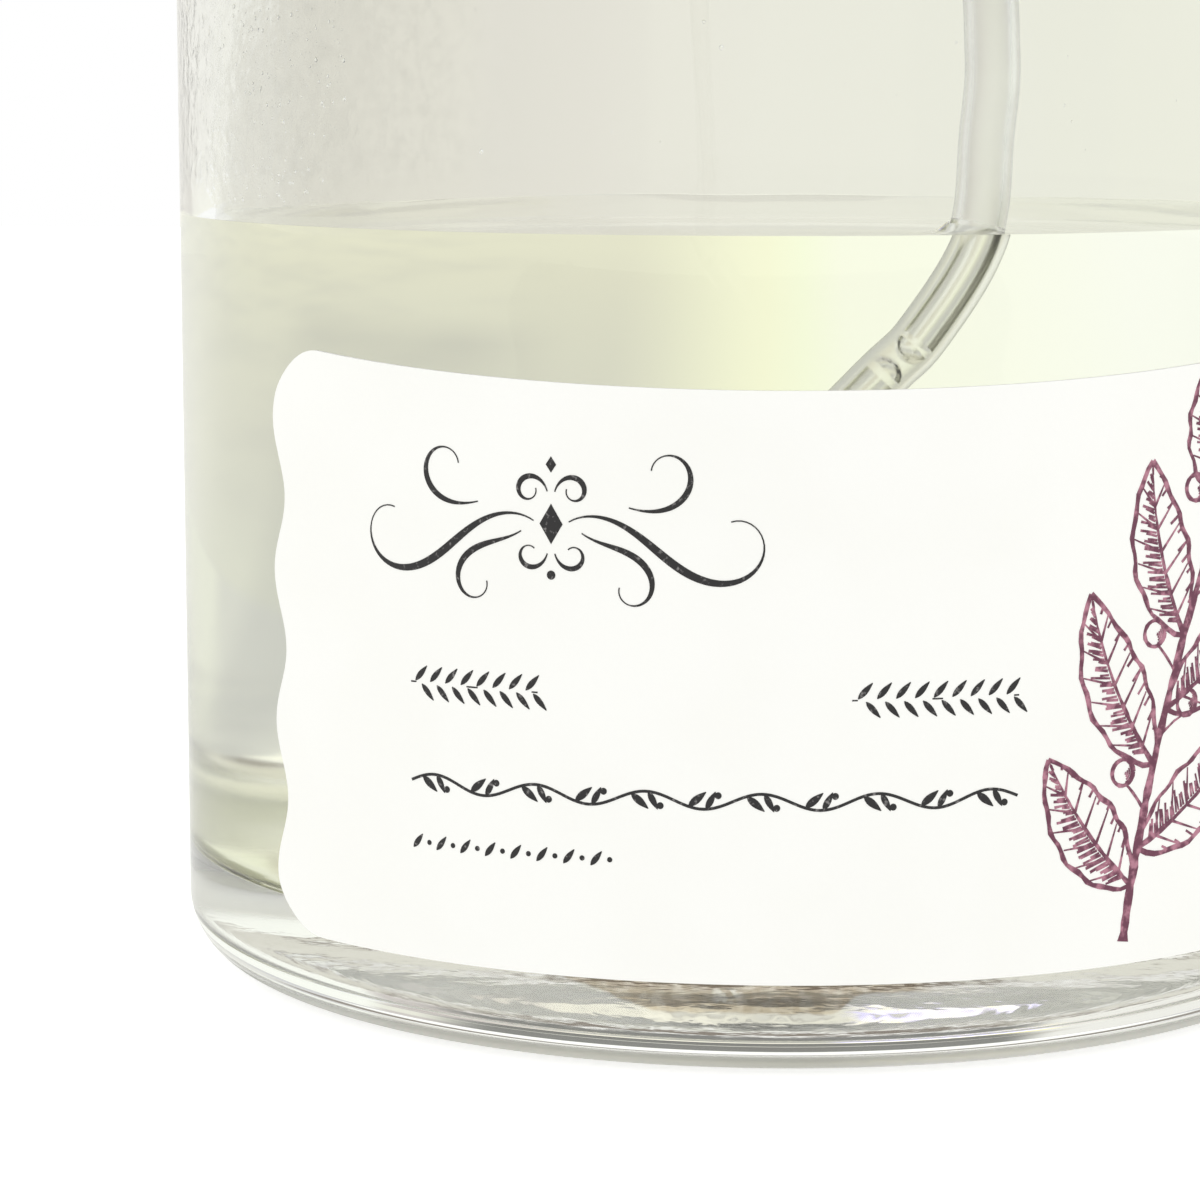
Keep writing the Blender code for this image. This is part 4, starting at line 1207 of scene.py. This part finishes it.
def curved(start, heading, length, bend, breadth, steps=14, taper=0.8):
    """A drawn line with a constant bend in degrees per millimetre and a slightly unsteady hand."""
    u, z = start
    angle = math.radians(heading)
    stroke = []
    for i in range(steps + 1):
        share = i / steps
        shake = 0.025 * (hand.random() - 0.5)
        stroke.append((u + shake, z - shake, breadth * (1 - taper * share) * (0.75 + 0.5 * hand.random())))
        angle += math.radians(bend) * length / steps
        u += math.cos(angle) * length / steps
        z += math.sin(angle) * length / steps
    return stroke


def engraved_leaf(u, z, heading, length, breadth, bend):
    """Outline, midrib, veins and shading of one leaf that curves by bend degrees per millimetre."""
    rib = curved((u, z), heading, length, bend, 0.16, steps=24)
    drawn = [rib]
    halves = {1: [], -1: []}
    for i, (ru, rz, _) in enumerate(rib):
        share = i / (len(rib) - 1)
        angle = math.radians(heading + bend * length * share)
        half = breadth / 2 * math.sin(math.pi * share**0.85) ** 0.8
        for side in (1, -1):
            out = half * side * (1 + 0.05 * math.sin(share * 31 + side))
            halves[side].append((ru - math.sin(angle) * out, rz + math.cos(angle) * out))
    for side, edge in halves.items():
        drawn.append([(eu, ez, 0.10 + 0.07 * hand.random()) for eu, ez in edge])
        for i in range(3, len(rib) - 4, 3):
            ru, rz, _ = rib[i]
            eu, ez = edge[min(i + 3, len(rib) - 2)]
            drawn.append([(ru + (eu - ru) * s, rz + (ez - rz) * s, 0.085 * (1 - 0.6 * s))
                          for s in (0, 0.3, 0.6, 0.92)])
        shaded_half = side > 0
        for i in range(2, len(rib) - 2, 1 if shaded_half else 2):
            for k in range(2 if shaded_half else 1):
                ru, rz, _ = rib[i]
                nu, nz, _ = rib[i + 1]
                eu, ez = edge[min(i + 2, len(rib) - 1)]
                ru, rz = ru + (nu - ru) * 0.5 * k, rz + (nz - rz) * 0.5 * k
                if shaded_half:
                    near, far = 0.08, 0.35 + 0.4 * hand.random()
                else:
                    near, far = 0.55 + 0.3 * hand.random(), 0.95
                drawn.append([(ru + (eu - ru) * s, rz + (ez - rz) * s, 0.055 + 0.03 * hand.random())
                              for s in (near, (near + far) / 2, far)])
    return drawn


def engraved_berry(u, z, radius):
    """A small round berry: its outline, and shading lines on its right side."""
    drawn = [[(u + radius * math.cos(a), z + radius * math.sin(a), 0.09 + 0.05 * hand.random())
              for a in (math.tau * k / 20 for k in range(21))]]
    for k in range(4):
        inner = radius * (0.8 - 0.18 * k)
        drawn.append([(u + inner * math.cos(a), z + inner * math.sin(a), 0.05)
                      for a in (math.radians(d) for d in range(-70 + 10 * k, 41 - 8 * k, 10))])
    return drawn


stem = curved(STEM_START, STEM_HEADING, STEM_DRAWN_LENGTH, STEM_BEND, 0.3, steps=STEM_STEPS, taper=0.5)
twig = [stem]
for order, (at, side, length) in enumerate(LEAVES):
    su, sz, _ = stem[at]
    heading = STEM_HEADING + STEM_BEND * STEM_DRAWN_LENGTH * at / STEM_STEPS + side * (58 - 3 * order)
    twig += engraved_leaf(su, sz, heading, length, LEAF_BREADTH, LEAF_BEND * side)
for at, side in BERRIES:
    su, sz, _ = stem[at]
    stalk = curved((su, sz), 80 + side * 40, 1.5, 10 * side, 0.09, steps=5, taper=0.3)
    twig.append(stalk)
    twig += engraved_berry(stalk[-1][0] - side * 0.1, stalk[-1][1] + 0.4, BERRY_RADIUS)
twig += engraved_leaf(stem[-1][0], stem[-1][1], 66, 5.2, 2.2, 2.0)

plum_ink = worn_ink("plum_ink", 0.55, (0.14, 0.035, 0.07), (0.46, 0.20, 0.27), 2600.0, 0.42, 0.68)
on_label = [[(u, z, DRAWING_WEIGHT * breadth) for u, z, breadth in stroke] for stroke in twig
            if all(3.9 < z < 27.0 and u < 23.2 for u, z, _ in stroke)]
printed("label_print_plum", on_label, plum_ink)

# Droplets. Perfume that splashed up clings to the inside of the wall above the liquid, densest at the left.
PATCH_COLUMNS = 24

splash, given, close = modelling_tree("splashed_drops", {"Seed": "Int", "Density": "Float",
                                                         "Smallest": "Float", "Largest": "Float"})
scatter = placed(splash, "GeometryNodeDistributePointsOnFaces", Mesh=given["Geometry"],
                 Density=given["Density"], Seed=given["Seed"])
drop = placed(splash, "GeometryNodeMeshIcoSphere", Radius=1.0, Subdivisions=2)
drawn_size = placed(splash, "FunctionNodeRandomValue", Seed=given["Seed"])
drawn_size.data_type = "FLOAT"
sizes = {s.identifier: s for s in drawn_size.inputs}
sizes["Min_001"].default_value = 0.0
sizes["Max_001"].default_value = 1.0
draw = next(s for s in drawn_size.outputs if s.identifier == "Value_001")
small_first = math_node(splash, "POWER", draw, 3.0)
size = math_node(splash, "MULTIPLY_ADD", small_first,
                 math_node(splash, "SUBTRACT", given["Largest"], given["Smallest"]), given["Smallest"])
shape = placed(splash, "ShaderNodeCombineXYZ", X=size, Y=math_node(splash, "MULTIPLY", size, 1.12),
               Z=math_node(splash, "MULTIPLY", size, 0.3))
drops = placed(splash, "GeometryNodeInstanceOnPoints", Points=scatter.outputs["Points"],
               Instance=drop.outputs[0], Rotation=scatter.outputs["Rotation"], Scale=shape.outputs[0])
close(drops.outputs[0])

drop_liquid, _ = clear("perfume_drop", PERFUME_IOR)


def splashed(name, left, right, low, high, seed, density, smallest, largest):
    """Drops on a patch of the inner wall. Its sides are given in degrees right of the front."""
    mesh = bpy.data.meshes.new(name)
    inside = BODY_RADIUS - WALL_THICKNESS - 0.05 * MM
    points = []
    for i in range(PATCH_COLUMNS + 1):
        angle = math.radians(left + (right - left) * i / PATCH_COLUMNS)
        points += [(inside * math.sin(angle), -inside * math.cos(angle), z) for z in (low, high)]
    mesh.from_pydata(points, [], [(2 * i, 2 * i + 1, 2 * i + 3, 2 * i + 2) for i in range(PATCH_COLUMNS)])
    made = grown(name, mesh, splash, Seed=seed, Density=density, Smallest=smallest, Largest=largest,
                 Finish=drop_liquid)
    fit(made, "bottle")


splashed("drops_left", -66, -42, 32.2 * MM, 40.0 * MM, 5, 5.0e6, 0.02 * MM, 0.09 * MM)
splashed("drops_front", -40, 75, 33.5 * MM, 60.0 * MM, 9, 2.4e4, 0.03 * MM, 0.12 * MM)
splashed("drops_back", 95, 270, 33.5 * MM, 62.0 * MM, 14, 2.0e4, 0.04 * MM, 0.16 * MM)

# Neck gasket. A flat ring of grey rubber between the glass lip and the pump's flange, squeezed by the crimp.
FIT = 0.3 * MM
GASKET_THICKNESS = 1.0 * MM
FLANGE_RADIUS = 7.2 * MM
SOFT_EDGE = 0.15 * MM
gasket_bottom = NECK_TOP + FIT
gasket_top = gasket_bottom + GASKET_THICKNESS


def rounded(corners, radius=SOFT_EDGE, softness=4):
    """A closed outline of (radius, height) corners with each corner rounded off by a small curve."""
    outline = []
    for i, corner in enumerate(corners):
        here = Vector(corner)
        before = Vector(corners[i - 1])
        after = Vector(corners[(i + 1) % len(corners)])
        cut = min(radius, (before - here).length * 0.45, (after - here).length * 0.45)
        start = here + (before - here).normalized() * cut
        end = here + (after - here).normalized() * cut
        for k in range(softness + 1):
            t = k / softness
            outline.append(tuple(start * (1 - t) ** 2 + here * 2 * t * (1 - t) + end * t**2))
    return outline


def fitted_ring(name, corners, finish, body, node, slot, steps=96, sharp=60.0, **edges):
    """Turns a closed outline of corners with softened edges, and fits the piece."""
    fit(turned(name, rounded(corners, **edges), finish, steps, closed=True), body, node, sharp)


rubber, shader = principled("gasket_rubber", (0.09, 0.09, 0.092), 0.6)
relief(rubber, shader, grained(rubber.node_tree, 3000.0), 0.03 * MM)
fitted_ring("gasket", [
    (NECK_BORE + FIT, gasket_bottom),
    (FLANGE_RADIUS, gasket_bottom),
    (FLANGE_RADIUS, gasket_top),
    (NECK_BORE + FIT, gasket_top),
], rubber, "bottle", "neck_gasket", "gasket_rubber")

# Pump housing. Natural polypropylene, moulded in one shot: flange, chamber, ball cage, inlet cone and the
# nipple that grips the dip tube. It hangs in the neck by its flange.
FLANGE_THICKNESS = 0.8 * MM
HOUSING_RADIUS = 4.3 * MM
CHAMBER_RADIUS = 3.3 * MM
SPRING_LEDGE = 68.0 * MM
CAGE_RADIUS = 1.6 * MM
CONE_TOP = 65.0 * MM
INLET_RADIUS = 0.7 * MM
SOCKET_TOP = 63.3 * MM
HOUSING_BOTTOM = 59.8 * MM
NIPPLE_RADIUS = 2.1 * MM
NIPPLE_TAPER = 0.2 * MM
HOUSING_FOOT_HEIGHT = 1.0 * MM
flange_bottom = gasket_top + FIT
flange_top = flange_bottom + FLANGE_THICKNESS
housing_plastic, shader = principled("housing_plastic", (0.9, 0.9, 0.87), 0.22, transmission=0.75, ior=1.49)
relief(housing_plastic, shader, grained(housing_plastic.node_tree, 900.0), 0.02 * MM)
fitted_ring("housing", [
    (FLANGE_RADIUS, flange_bottom),
    (FLANGE_RADIUS, flange_top),
    (CHAMBER_RADIUS, flange_top),
    (CHAMBER_RADIUS, SPRING_LEDGE),
    (CAGE_RADIUS, SPRING_LEDGE),
    (CAGE_RADIUS, CONE_TOP),
    (INLET_RADIUS, CONE_TOP - (CAGE_RADIUS - INLET_RADIUS)),
    (INLET_RADIUS, SOCKET_TOP),
    (TUBE_RADIUS + FIT / 2, SOCKET_TOP),
    (TUBE_RADIUS + FIT / 2, HOUSING_BOTTOM),
    (NIPPLE_RADIUS, HOUSING_BOTTOM),
    (NIPPLE_RADIUS + NIPPLE_TAPER, CONE_TOP - EDGE_ROUND),
    (HOUSING_RADIUS - EDGE_ROUND, SPRING_LEDGE - HOUSING_FOOT_HEIGHT - EDGE_ROUND),
    (HOUSING_RADIUS, SPRING_LEDGE - HOUSING_FOOT_HEIGHT),
    (HOUSING_RADIUS, flange_bottom),
], housing_plastic, "bottle", "pump_housing", "tube_plastic")

# Inlet ball. A polished stainless ball that rests on the cone and seals the inlet while the button goes down.
BALL_RADIUS = 1.2 * MM
steel, shader = principled("spring_steel", (0.60, 0.60, 0.61), 0.2, metallic=1.0)
drawn_lines = grained(steel.node_tree, 1600.0, 0.2, 3.0)
relief(steel, shader, drawn_lines, 0.004 * MM)
dulled(steel, shader, drawn_lines, 0.15, 0.14)
ball_height = CONE_TOP - CAGE_RADIUS + (BALL_RADIUS + FIT) * math.sqrt(2)
bm = bmesh.new()
bmesh.ops.create_icosphere(bm, subdivisions=4, radius=BALL_RADIUS)
bmesh.ops.translate(bm, verts=bm.verts, vec=(0, 0, ball_height))
fit(meshed("valve_ball", bm, steel), "bottle", "inlet_ball", 60.0)

# Return spring. Stainless wire wound as a helix between the chamber's ledge and the stem's flange.
SPRING_TURNS = 6
SPRING_RADIUS = 2.4 * MM
SPRING_WIRE = 0.28 * MM
STEM_BOTTOM = 77.4 * MM
PRESS_TRAVEL = 4.0 * MM
spring_bottom = SPRING_LEDGE + FIT + SPRING_WIRE
spring_top = STEM_BOTTOM - FIT - SPRING_WIRE

winder, given, close = modelling_tree("spring_winder", {
    "Turns": "Float", "Coil Radius": "Float", "Wire Radius": "Float", "Bottom": "Float", "Rise": "Float",
})
coil = placed(winder, "GeometryNodeCurveSpiral", Resolution=48, Rotations=given["Turns"],
              Start_Radius=given["Coil Radius"], End_Radius=given["Coil Radius"], Height=given["Rise"])
lift = placed(winder, "ShaderNodeCombineXYZ", Z=given["Bottom"])
raised = placed(winder, "GeometryNodeSetPosition", Geometry=coil.outputs[0], Offset=lift.outputs[0])
wire = placed(winder, "GeometryNodeCurvePrimitiveCircle", Resolution=14, Radius=given["Wire Radius"])
close(placed(winder, "GeometryNodeCurveToMesh", Curve=raised.outputs[0], Profile_Curve=wire.outputs[0],
             Fill_Caps=True).outputs[0])
spring = grown("spring", bpy.data.meshes.new("spring"), winder, Turns=float(SPRING_TURNS),
               Coil_Radius=SPRING_RADIUS, Wire_Radius=SPRING_WIRE, Bottom=spring_bottom,
               Rise=spring_top - spring_bottom, Finish=steel)
face_outwards(spring.data)
fit(spring, "bottle", "return_spring")
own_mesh(spring)

# Stem and piston. The hollow stem has a flange that the spring pushes up; the waisted piston ring above it
# seals the chamber with its two lips. Both are moulded in white polypropylene.
STEM_RADIUS = 1.6 * MM
STEM_BORE = 0.6 * MM
STEM_FLANGE_RADIUS = 2.7 * MM
STEM_FLANGE_THICKNESS = 0.8 * MM
STEM_TOP = 98.5 * MM
PISTON_LENGTH = 3.8 * MM
PISTON_LIP = 1.0 * MM
PISTON_WAIST = 0.6 * MM


def moulded(name, colour, roughness, speckles=1800.0):
    """A moulded plastic with a fine matt skin and faint flow marks."""
    finish, shader = principled(name, colour, roughness)
    tree = finish.node_tree
    relief(finish, shader, grained(tree, speckles), 0.015 * MM)
    flow = ramp(tree, grained(tree, 120.0, 0.3, 2.0), 0.3, 0.7)
    toned(finish, shader, flow, colour, tuple(c * 0.94 for c in colour))
    dulled(finish, shader, grained(tree, speckles), 0.2, roughness - 0.1)
    return finish


white_moulding = moulded("white_moulding", (0.78, 0.78, 0.76), 0.42)
flange_shoulder = STEM_BOTTOM + STEM_FLANGE_THICKNESS
fitted_ring("stem_tube", [
    (STEM_BORE, STEM_BOTTOM),
    (STEM_FLANGE_RADIUS, STEM_BOTTOM),
    (STEM_FLANGE_RADIUS, flange_shoulder),
    (STEM_RADIUS, flange_shoulder),
    (STEM_RADIUS, STEM_TOP),
    (STEM_BORE, STEM_TOP),
], white_moulding, "stem", "pump_stem", "white_moulding")
piston_bottom = flange_shoulder + FIT
piston_top = piston_bottom + PISTON_LENGTH
lip = CHAMBER_RADIUS - FIT
fitted_ring("piston_ring", [
    (STEM_RADIUS + FIT, piston_bottom),
    (lip, piston_bottom),
    (lip - PISTON_WAIST, piston_bottom + PISTON_LIP),
    (lip - PISTON_WAIST, piston_top - PISTON_LIP),
    (lip, piston_top),
    (STEM_RADIUS + FIT, piston_top),
], white_moulding, "stem", "piston", "white_moulding")

# Closure insert. The white guide that shuts the chamber, stops the piston and steadies the stem.
SHEET = 0.4 * MM
TURRET_RADIUS = 5.6 * MM
TURRET_TOP = 90.0 * MM
seat = flange_top + FIT
insert_radius = TURRET_RADIUS - SHEET - FIT
insert_top = TURRET_TOP - SHEET - FIT
fitted_ring("guide", [
    (STEM_RADIUS + FIT, piston_top + FIT),
    (lip, piston_top + FIT),
    (lip, seat),
    (insert_radius, seat),
    (insert_radius, insert_top),
    (STEM_RADIUS + FIT, insert_top),
], white_moulding, "bottle", "closure_insert", "white_moulding")

# Crimp ferrule. A drawn aluminium cup: the skirt is rolled in under the glass bead, and the turret holds the
# guide down.
FERRULE_RADIUS = 8.2 * MM
FERRULE_CRIMP_RADIUS = 6.9 * MM
TURRET_HOLE = 2.3 * MM


def satin(name, colour, roughness, lines=2600.0):
    """Aluminium turned to a satin finish: fine lines round the axis, and a slightly uneven anodised tone."""
    finish, shader = principled(name, colour, roughness, metallic=1.0)
    tree = finish.node_tree
    turning = grained(tree, 60.0, lines / 60.0, 3.0)
    relief(finish, shader, turning, 0.006 * MM)
    shader.inputs["Anisotropic"].default_value = 0.4
    tone = ramp(tree, grained(tree, 220.0, 1.0, 3.0), 0.3, 0.75)
    toned(finish, shader, tone, colour, tuple(c * 0.93 for c in colour))
    dulled(finish, shader, turning, 0.22, roughness - 0.11)
    return finish


aluminium = satin("satin_aluminium", (0.83, 0.83, 0.84), 0.27)
crimp_top = BEAD_BOTTOM - FIT
fitted_ring("ferrule", [
    (FERRULE_CRIMP_RADIUS, crimp_top - SHEET),
    (FERRULE_RADIUS - EDGE_ROUND, crimp_top - SHEET),
    (FERRULE_RADIUS, crimp_top),
    (FERRULE_RADIUS, seat + SHEET),
    (TURRET_RADIUS, seat + SHEET),
    (TURRET_RADIUS, TURRET_TOP),
    (TURRET_HOLE, TURRET_TOP),
    (TURRET_HOLE, TURRET_TOP - SHEET),
    (TURRET_RADIUS - SHEET, TURRET_TOP - SHEET),
    (TURRET_RADIUS - SHEET, seat),
    (FERRULE_RADIUS - SHEET, seat),
    (FERRULE_RADIUS - SHEET, crimp_top),
    (FERRULE_CRIMP_RADIUS, crimp_top),
], aluminium, "bottle", "crimp_ferrule", "satin_aluminium", 120, 50.0)

# Collar. A satin aluminium sleeve pushed over the ferrule, with an inward lip round the button.
COLLAR_RADIUS = 9.4 * MM
COLLAR_BORE = FERRULE_RADIUS + FIT
COLLAR_BOTTOM = 77.6 * MM
COLLAR_TOP = 92.6 * MM
COLLAR_LIP_RADIUS = 7.3 * MM
COLLAR_LIP_THICKNESS = 0.6 * MM
fitted_ring("collar_sleeve", [
    (COLLAR_BORE, COLLAR_BOTTOM),
    (COLLAR_RADIUS, COLLAR_BOTTOM),
    (COLLAR_RADIUS, COLLAR_TOP),
    (COLLAR_LIP_RADIUS, COLLAR_TOP),
    (COLLAR_LIP_RADIUS, COLLAR_TOP - COLLAR_LIP_THICKNESS),
    (COLLAR_BORE, COLLAR_TOP - COLLAR_LIP_THICKNESS),
], aluminium, "bottle", "collar", "satin_aluminium", 144, 50.0, radius=0.35 * MM, softness=6)

# Button sleeve. A satin aluminium thimble pressed over the button's core, with a finger dish and a round
# window for the nozzle.
BUTTON_RADIUS = 6.7 * MM
BUTTON_WALL = 0.35 * MM
BUTTON_TOP = 103.4 * MM
BUTTON_DISH = 0.5 * MM
BUTTON_EDGE = 0.6 * MM
NOZZLE_HEIGHT = 99.6 * MM
NOZZLE_RADIUS = 1.6 * MM
button_bottom = seat + SHEET + FIT + PRESS_TRAVEL


def dish(radius, top):
    """Points of the finger dish from its rim at the given radius to its middle."""
    return [(radius * (1 - i / 16), top - BUTTON_DISH * (1 - (1 - i / 16) ** 2)) for i in range(1, 17)]


def bored_along_y(made, radius, start, end):
    """Bores a round hole along Y through a piece at the nozzle's height."""
    drilled(made, [Vector((0, y, NOZZLE_HEIGHT)) for y in (start, end)], radius, 64, made.data.materials[0])


inside = BUTTON_RADIUS - BUTTON_WALL
rim = BUTTON_RADIUS - BUTTON_EDGE
outline = [(0.0, BUTTON_TOP - BUTTON_DISH - BUTTON_WALL)]
outline += list(reversed(dish(rim, BUTTON_TOP - BUTTON_WALL)))[1:]
outline += arc(inside - 0.3 * MM, BUTTON_TOP - BUTTON_WALL - 0.3 * MM, 0.3 * MM, 90, 0, 6)
outline += [(inside, button_bottom), (BUTTON_RADIUS, button_bottom)]
outline += arc(rim, BUTTON_TOP - BUTTON_EDGE, BUTTON_EDGE, 0, 90, 10)
outline += dish(rim, BUTTON_TOP)
sleeve = turned("button_thimble", outline, aluminium, 144)
bored_along_y(sleeve, NOZZLE_RADIUS + FIT, -2 * BUTTON_RADIUS, -BUTTON_RADIUS / 2)
fit(sleeve, "actuator", "button_sleeve", 40.0)

# Button core. The white moulded plug in the sleeve, with the stem socket and the channel to the nozzle.
NOZZLE_LENGTH = 2.2 * MM
CHANNEL_RADIUS = 0.4 * MM
CHANNEL_CHAMBER = 1.0 * MM
core_radius = inside - FIT
core_top = BUTTON_TOP - BUTTON_DISH - BUTTON_WALL - FIT
core_bottom = TURRET_TOP + PRESS_TRAVEL + 2 * FIT
outline = [
    (0.0, NOZZLE_HEIGHT + EDGE_ROUND),
    (CHANNEL_CHAMBER, NOZZLE_HEIGHT + EDGE_ROUND),
    (CHANNEL_CHAMBER, STEM_TOP + FIT),
    (STEM_RADIUS + FIT, STEM_TOP + FIT),
    (STEM_RADIUS + FIT, core_bottom + EDGE_ROUND / 2),
    (STEM_RADIUS + FIT + EDGE_ROUND / 2, core_bottom),
    (core_radius - EDGE_ROUND / 2, core_bottom),
    (core_radius, core_bottom + EDGE_ROUND / 2),
    *arc(core_radius - EDGE_ROUND, core_top - EDGE_ROUND, EDGE_ROUND, 0, 90, 6),
    (0.0, core_top),
]
core = turned("button_plug", outline, white_moulding, 96)
recess = -(BUTTON_RADIUS - NOZZLE_LENGTH - FIT)
bored_along_y(core, NOZZLE_RADIUS + FIT, -2 * BUTTON_RADIUS, recess)
bored_along_y(core, CHANNEL_RADIUS, recess - FIT, 0.0)
fit(core, "actuator", "button_core", 40.0)

# Nozzle insert. The white disc pressed into the core, with the spray orifice at the bottom of a dimple.
NOZZLE_ORIFICE = 0.25 * MM
NOZZLE_DIMPLE = 0.8 * MM
outline = [
    (NOZZLE_ORIFICE, 0.0),
    (NOZZLE_RADIUS, 0.0),
    (NOZZLE_RADIUS, NOZZLE_LENGTH),
    (NOZZLE_DIMPLE, NOZZLE_LENGTH),
    (NOZZLE_ORIFICE, NOZZLE_LENGTH - 0.4 * MM),
]
nozzle = turned("nozzle", rounded(outline, 0.12 * MM), white_moulding, 64, closed=True)
nozzle.data.transform(Matrix.Translation((0, -(BUTTON_RADIUS - NOZZLE_LENGTH), NOZZLE_HEIGHT))
                      @ Matrix.Rotation(math.radians(90), 4, "X"))
fit(nozzle, "actuator", "nozzle_insert", 40.0)

# Overcap. A heavy clear acrylic cap with a thick top that pushes over the collar.
CAP_RADIUS = 14.0 * MM
CAP_BOTTOM = 77.4 * MM
CAP_TOP = 113.4 * MM
CAP_BORE = COLLAR_RADIUS + FIT
CAP_CEILING = 108.8 * MM
CAP_EDGE = 1.0 * MM
CAP_RIM_CHAMFER = 0.6 * MM
acrylic, shader = principled("clear_acrylic", (0.985, 0.99, 0.99), 0.01, transmission=1.0, ior=1.49)
tree = acrylic.node_tree
dulled(acrylic, shader, ramp(tree, grained(tree, 170.0, 1.0, 4.0), 0.5, 0.75), 0.03, 0.005)
relief(acrylic, shader, grained(tree, 240.0, 0.6, 2.0), 0.006 * MM)
outline = [(0.0, CAP_CEILING)]
outline += run((0.0, CAP_CEILING), (CAP_BORE - CAP_EDGE, CAP_CEILING), 6)
outline += arc(CAP_BORE - CAP_EDGE, CAP_CEILING - CAP_EDGE, CAP_EDGE, 90, 0, 14)
outline += run((CAP_BORE, CAP_CEILING - CAP_EDGE), (CAP_BORE, CAP_BOTTOM), 10)
outline += arc(CAP_BORE + 0.2 * MM, CAP_BOTTOM + 0.2 * MM, 0.2 * MM, 180, 270, 4)
outline += arc(CAP_RADIUS - CAP_RIM_CHAMFER, CAP_BOTTOM + CAP_RIM_CHAMFER, CAP_RIM_CHAMFER, -90, 0, 10)
outline += run((CAP_RADIUS, CAP_BOTTOM), (CAP_RADIUS, CAP_TOP), 10)
outline += arc(CAP_RADIUS - CAP_EDGE, CAP_TOP - CAP_EDGE, CAP_EDGE, 0, 90, 14)
outline += run((CAP_RADIUS - CAP_EDGE, CAP_TOP), (0.0, CAP_TOP), 6)
outline += [(0.0, CAP_TOP)]
fit(turned("cap", outline, acrylic, 180), "bottle", "overcap", 40.0)
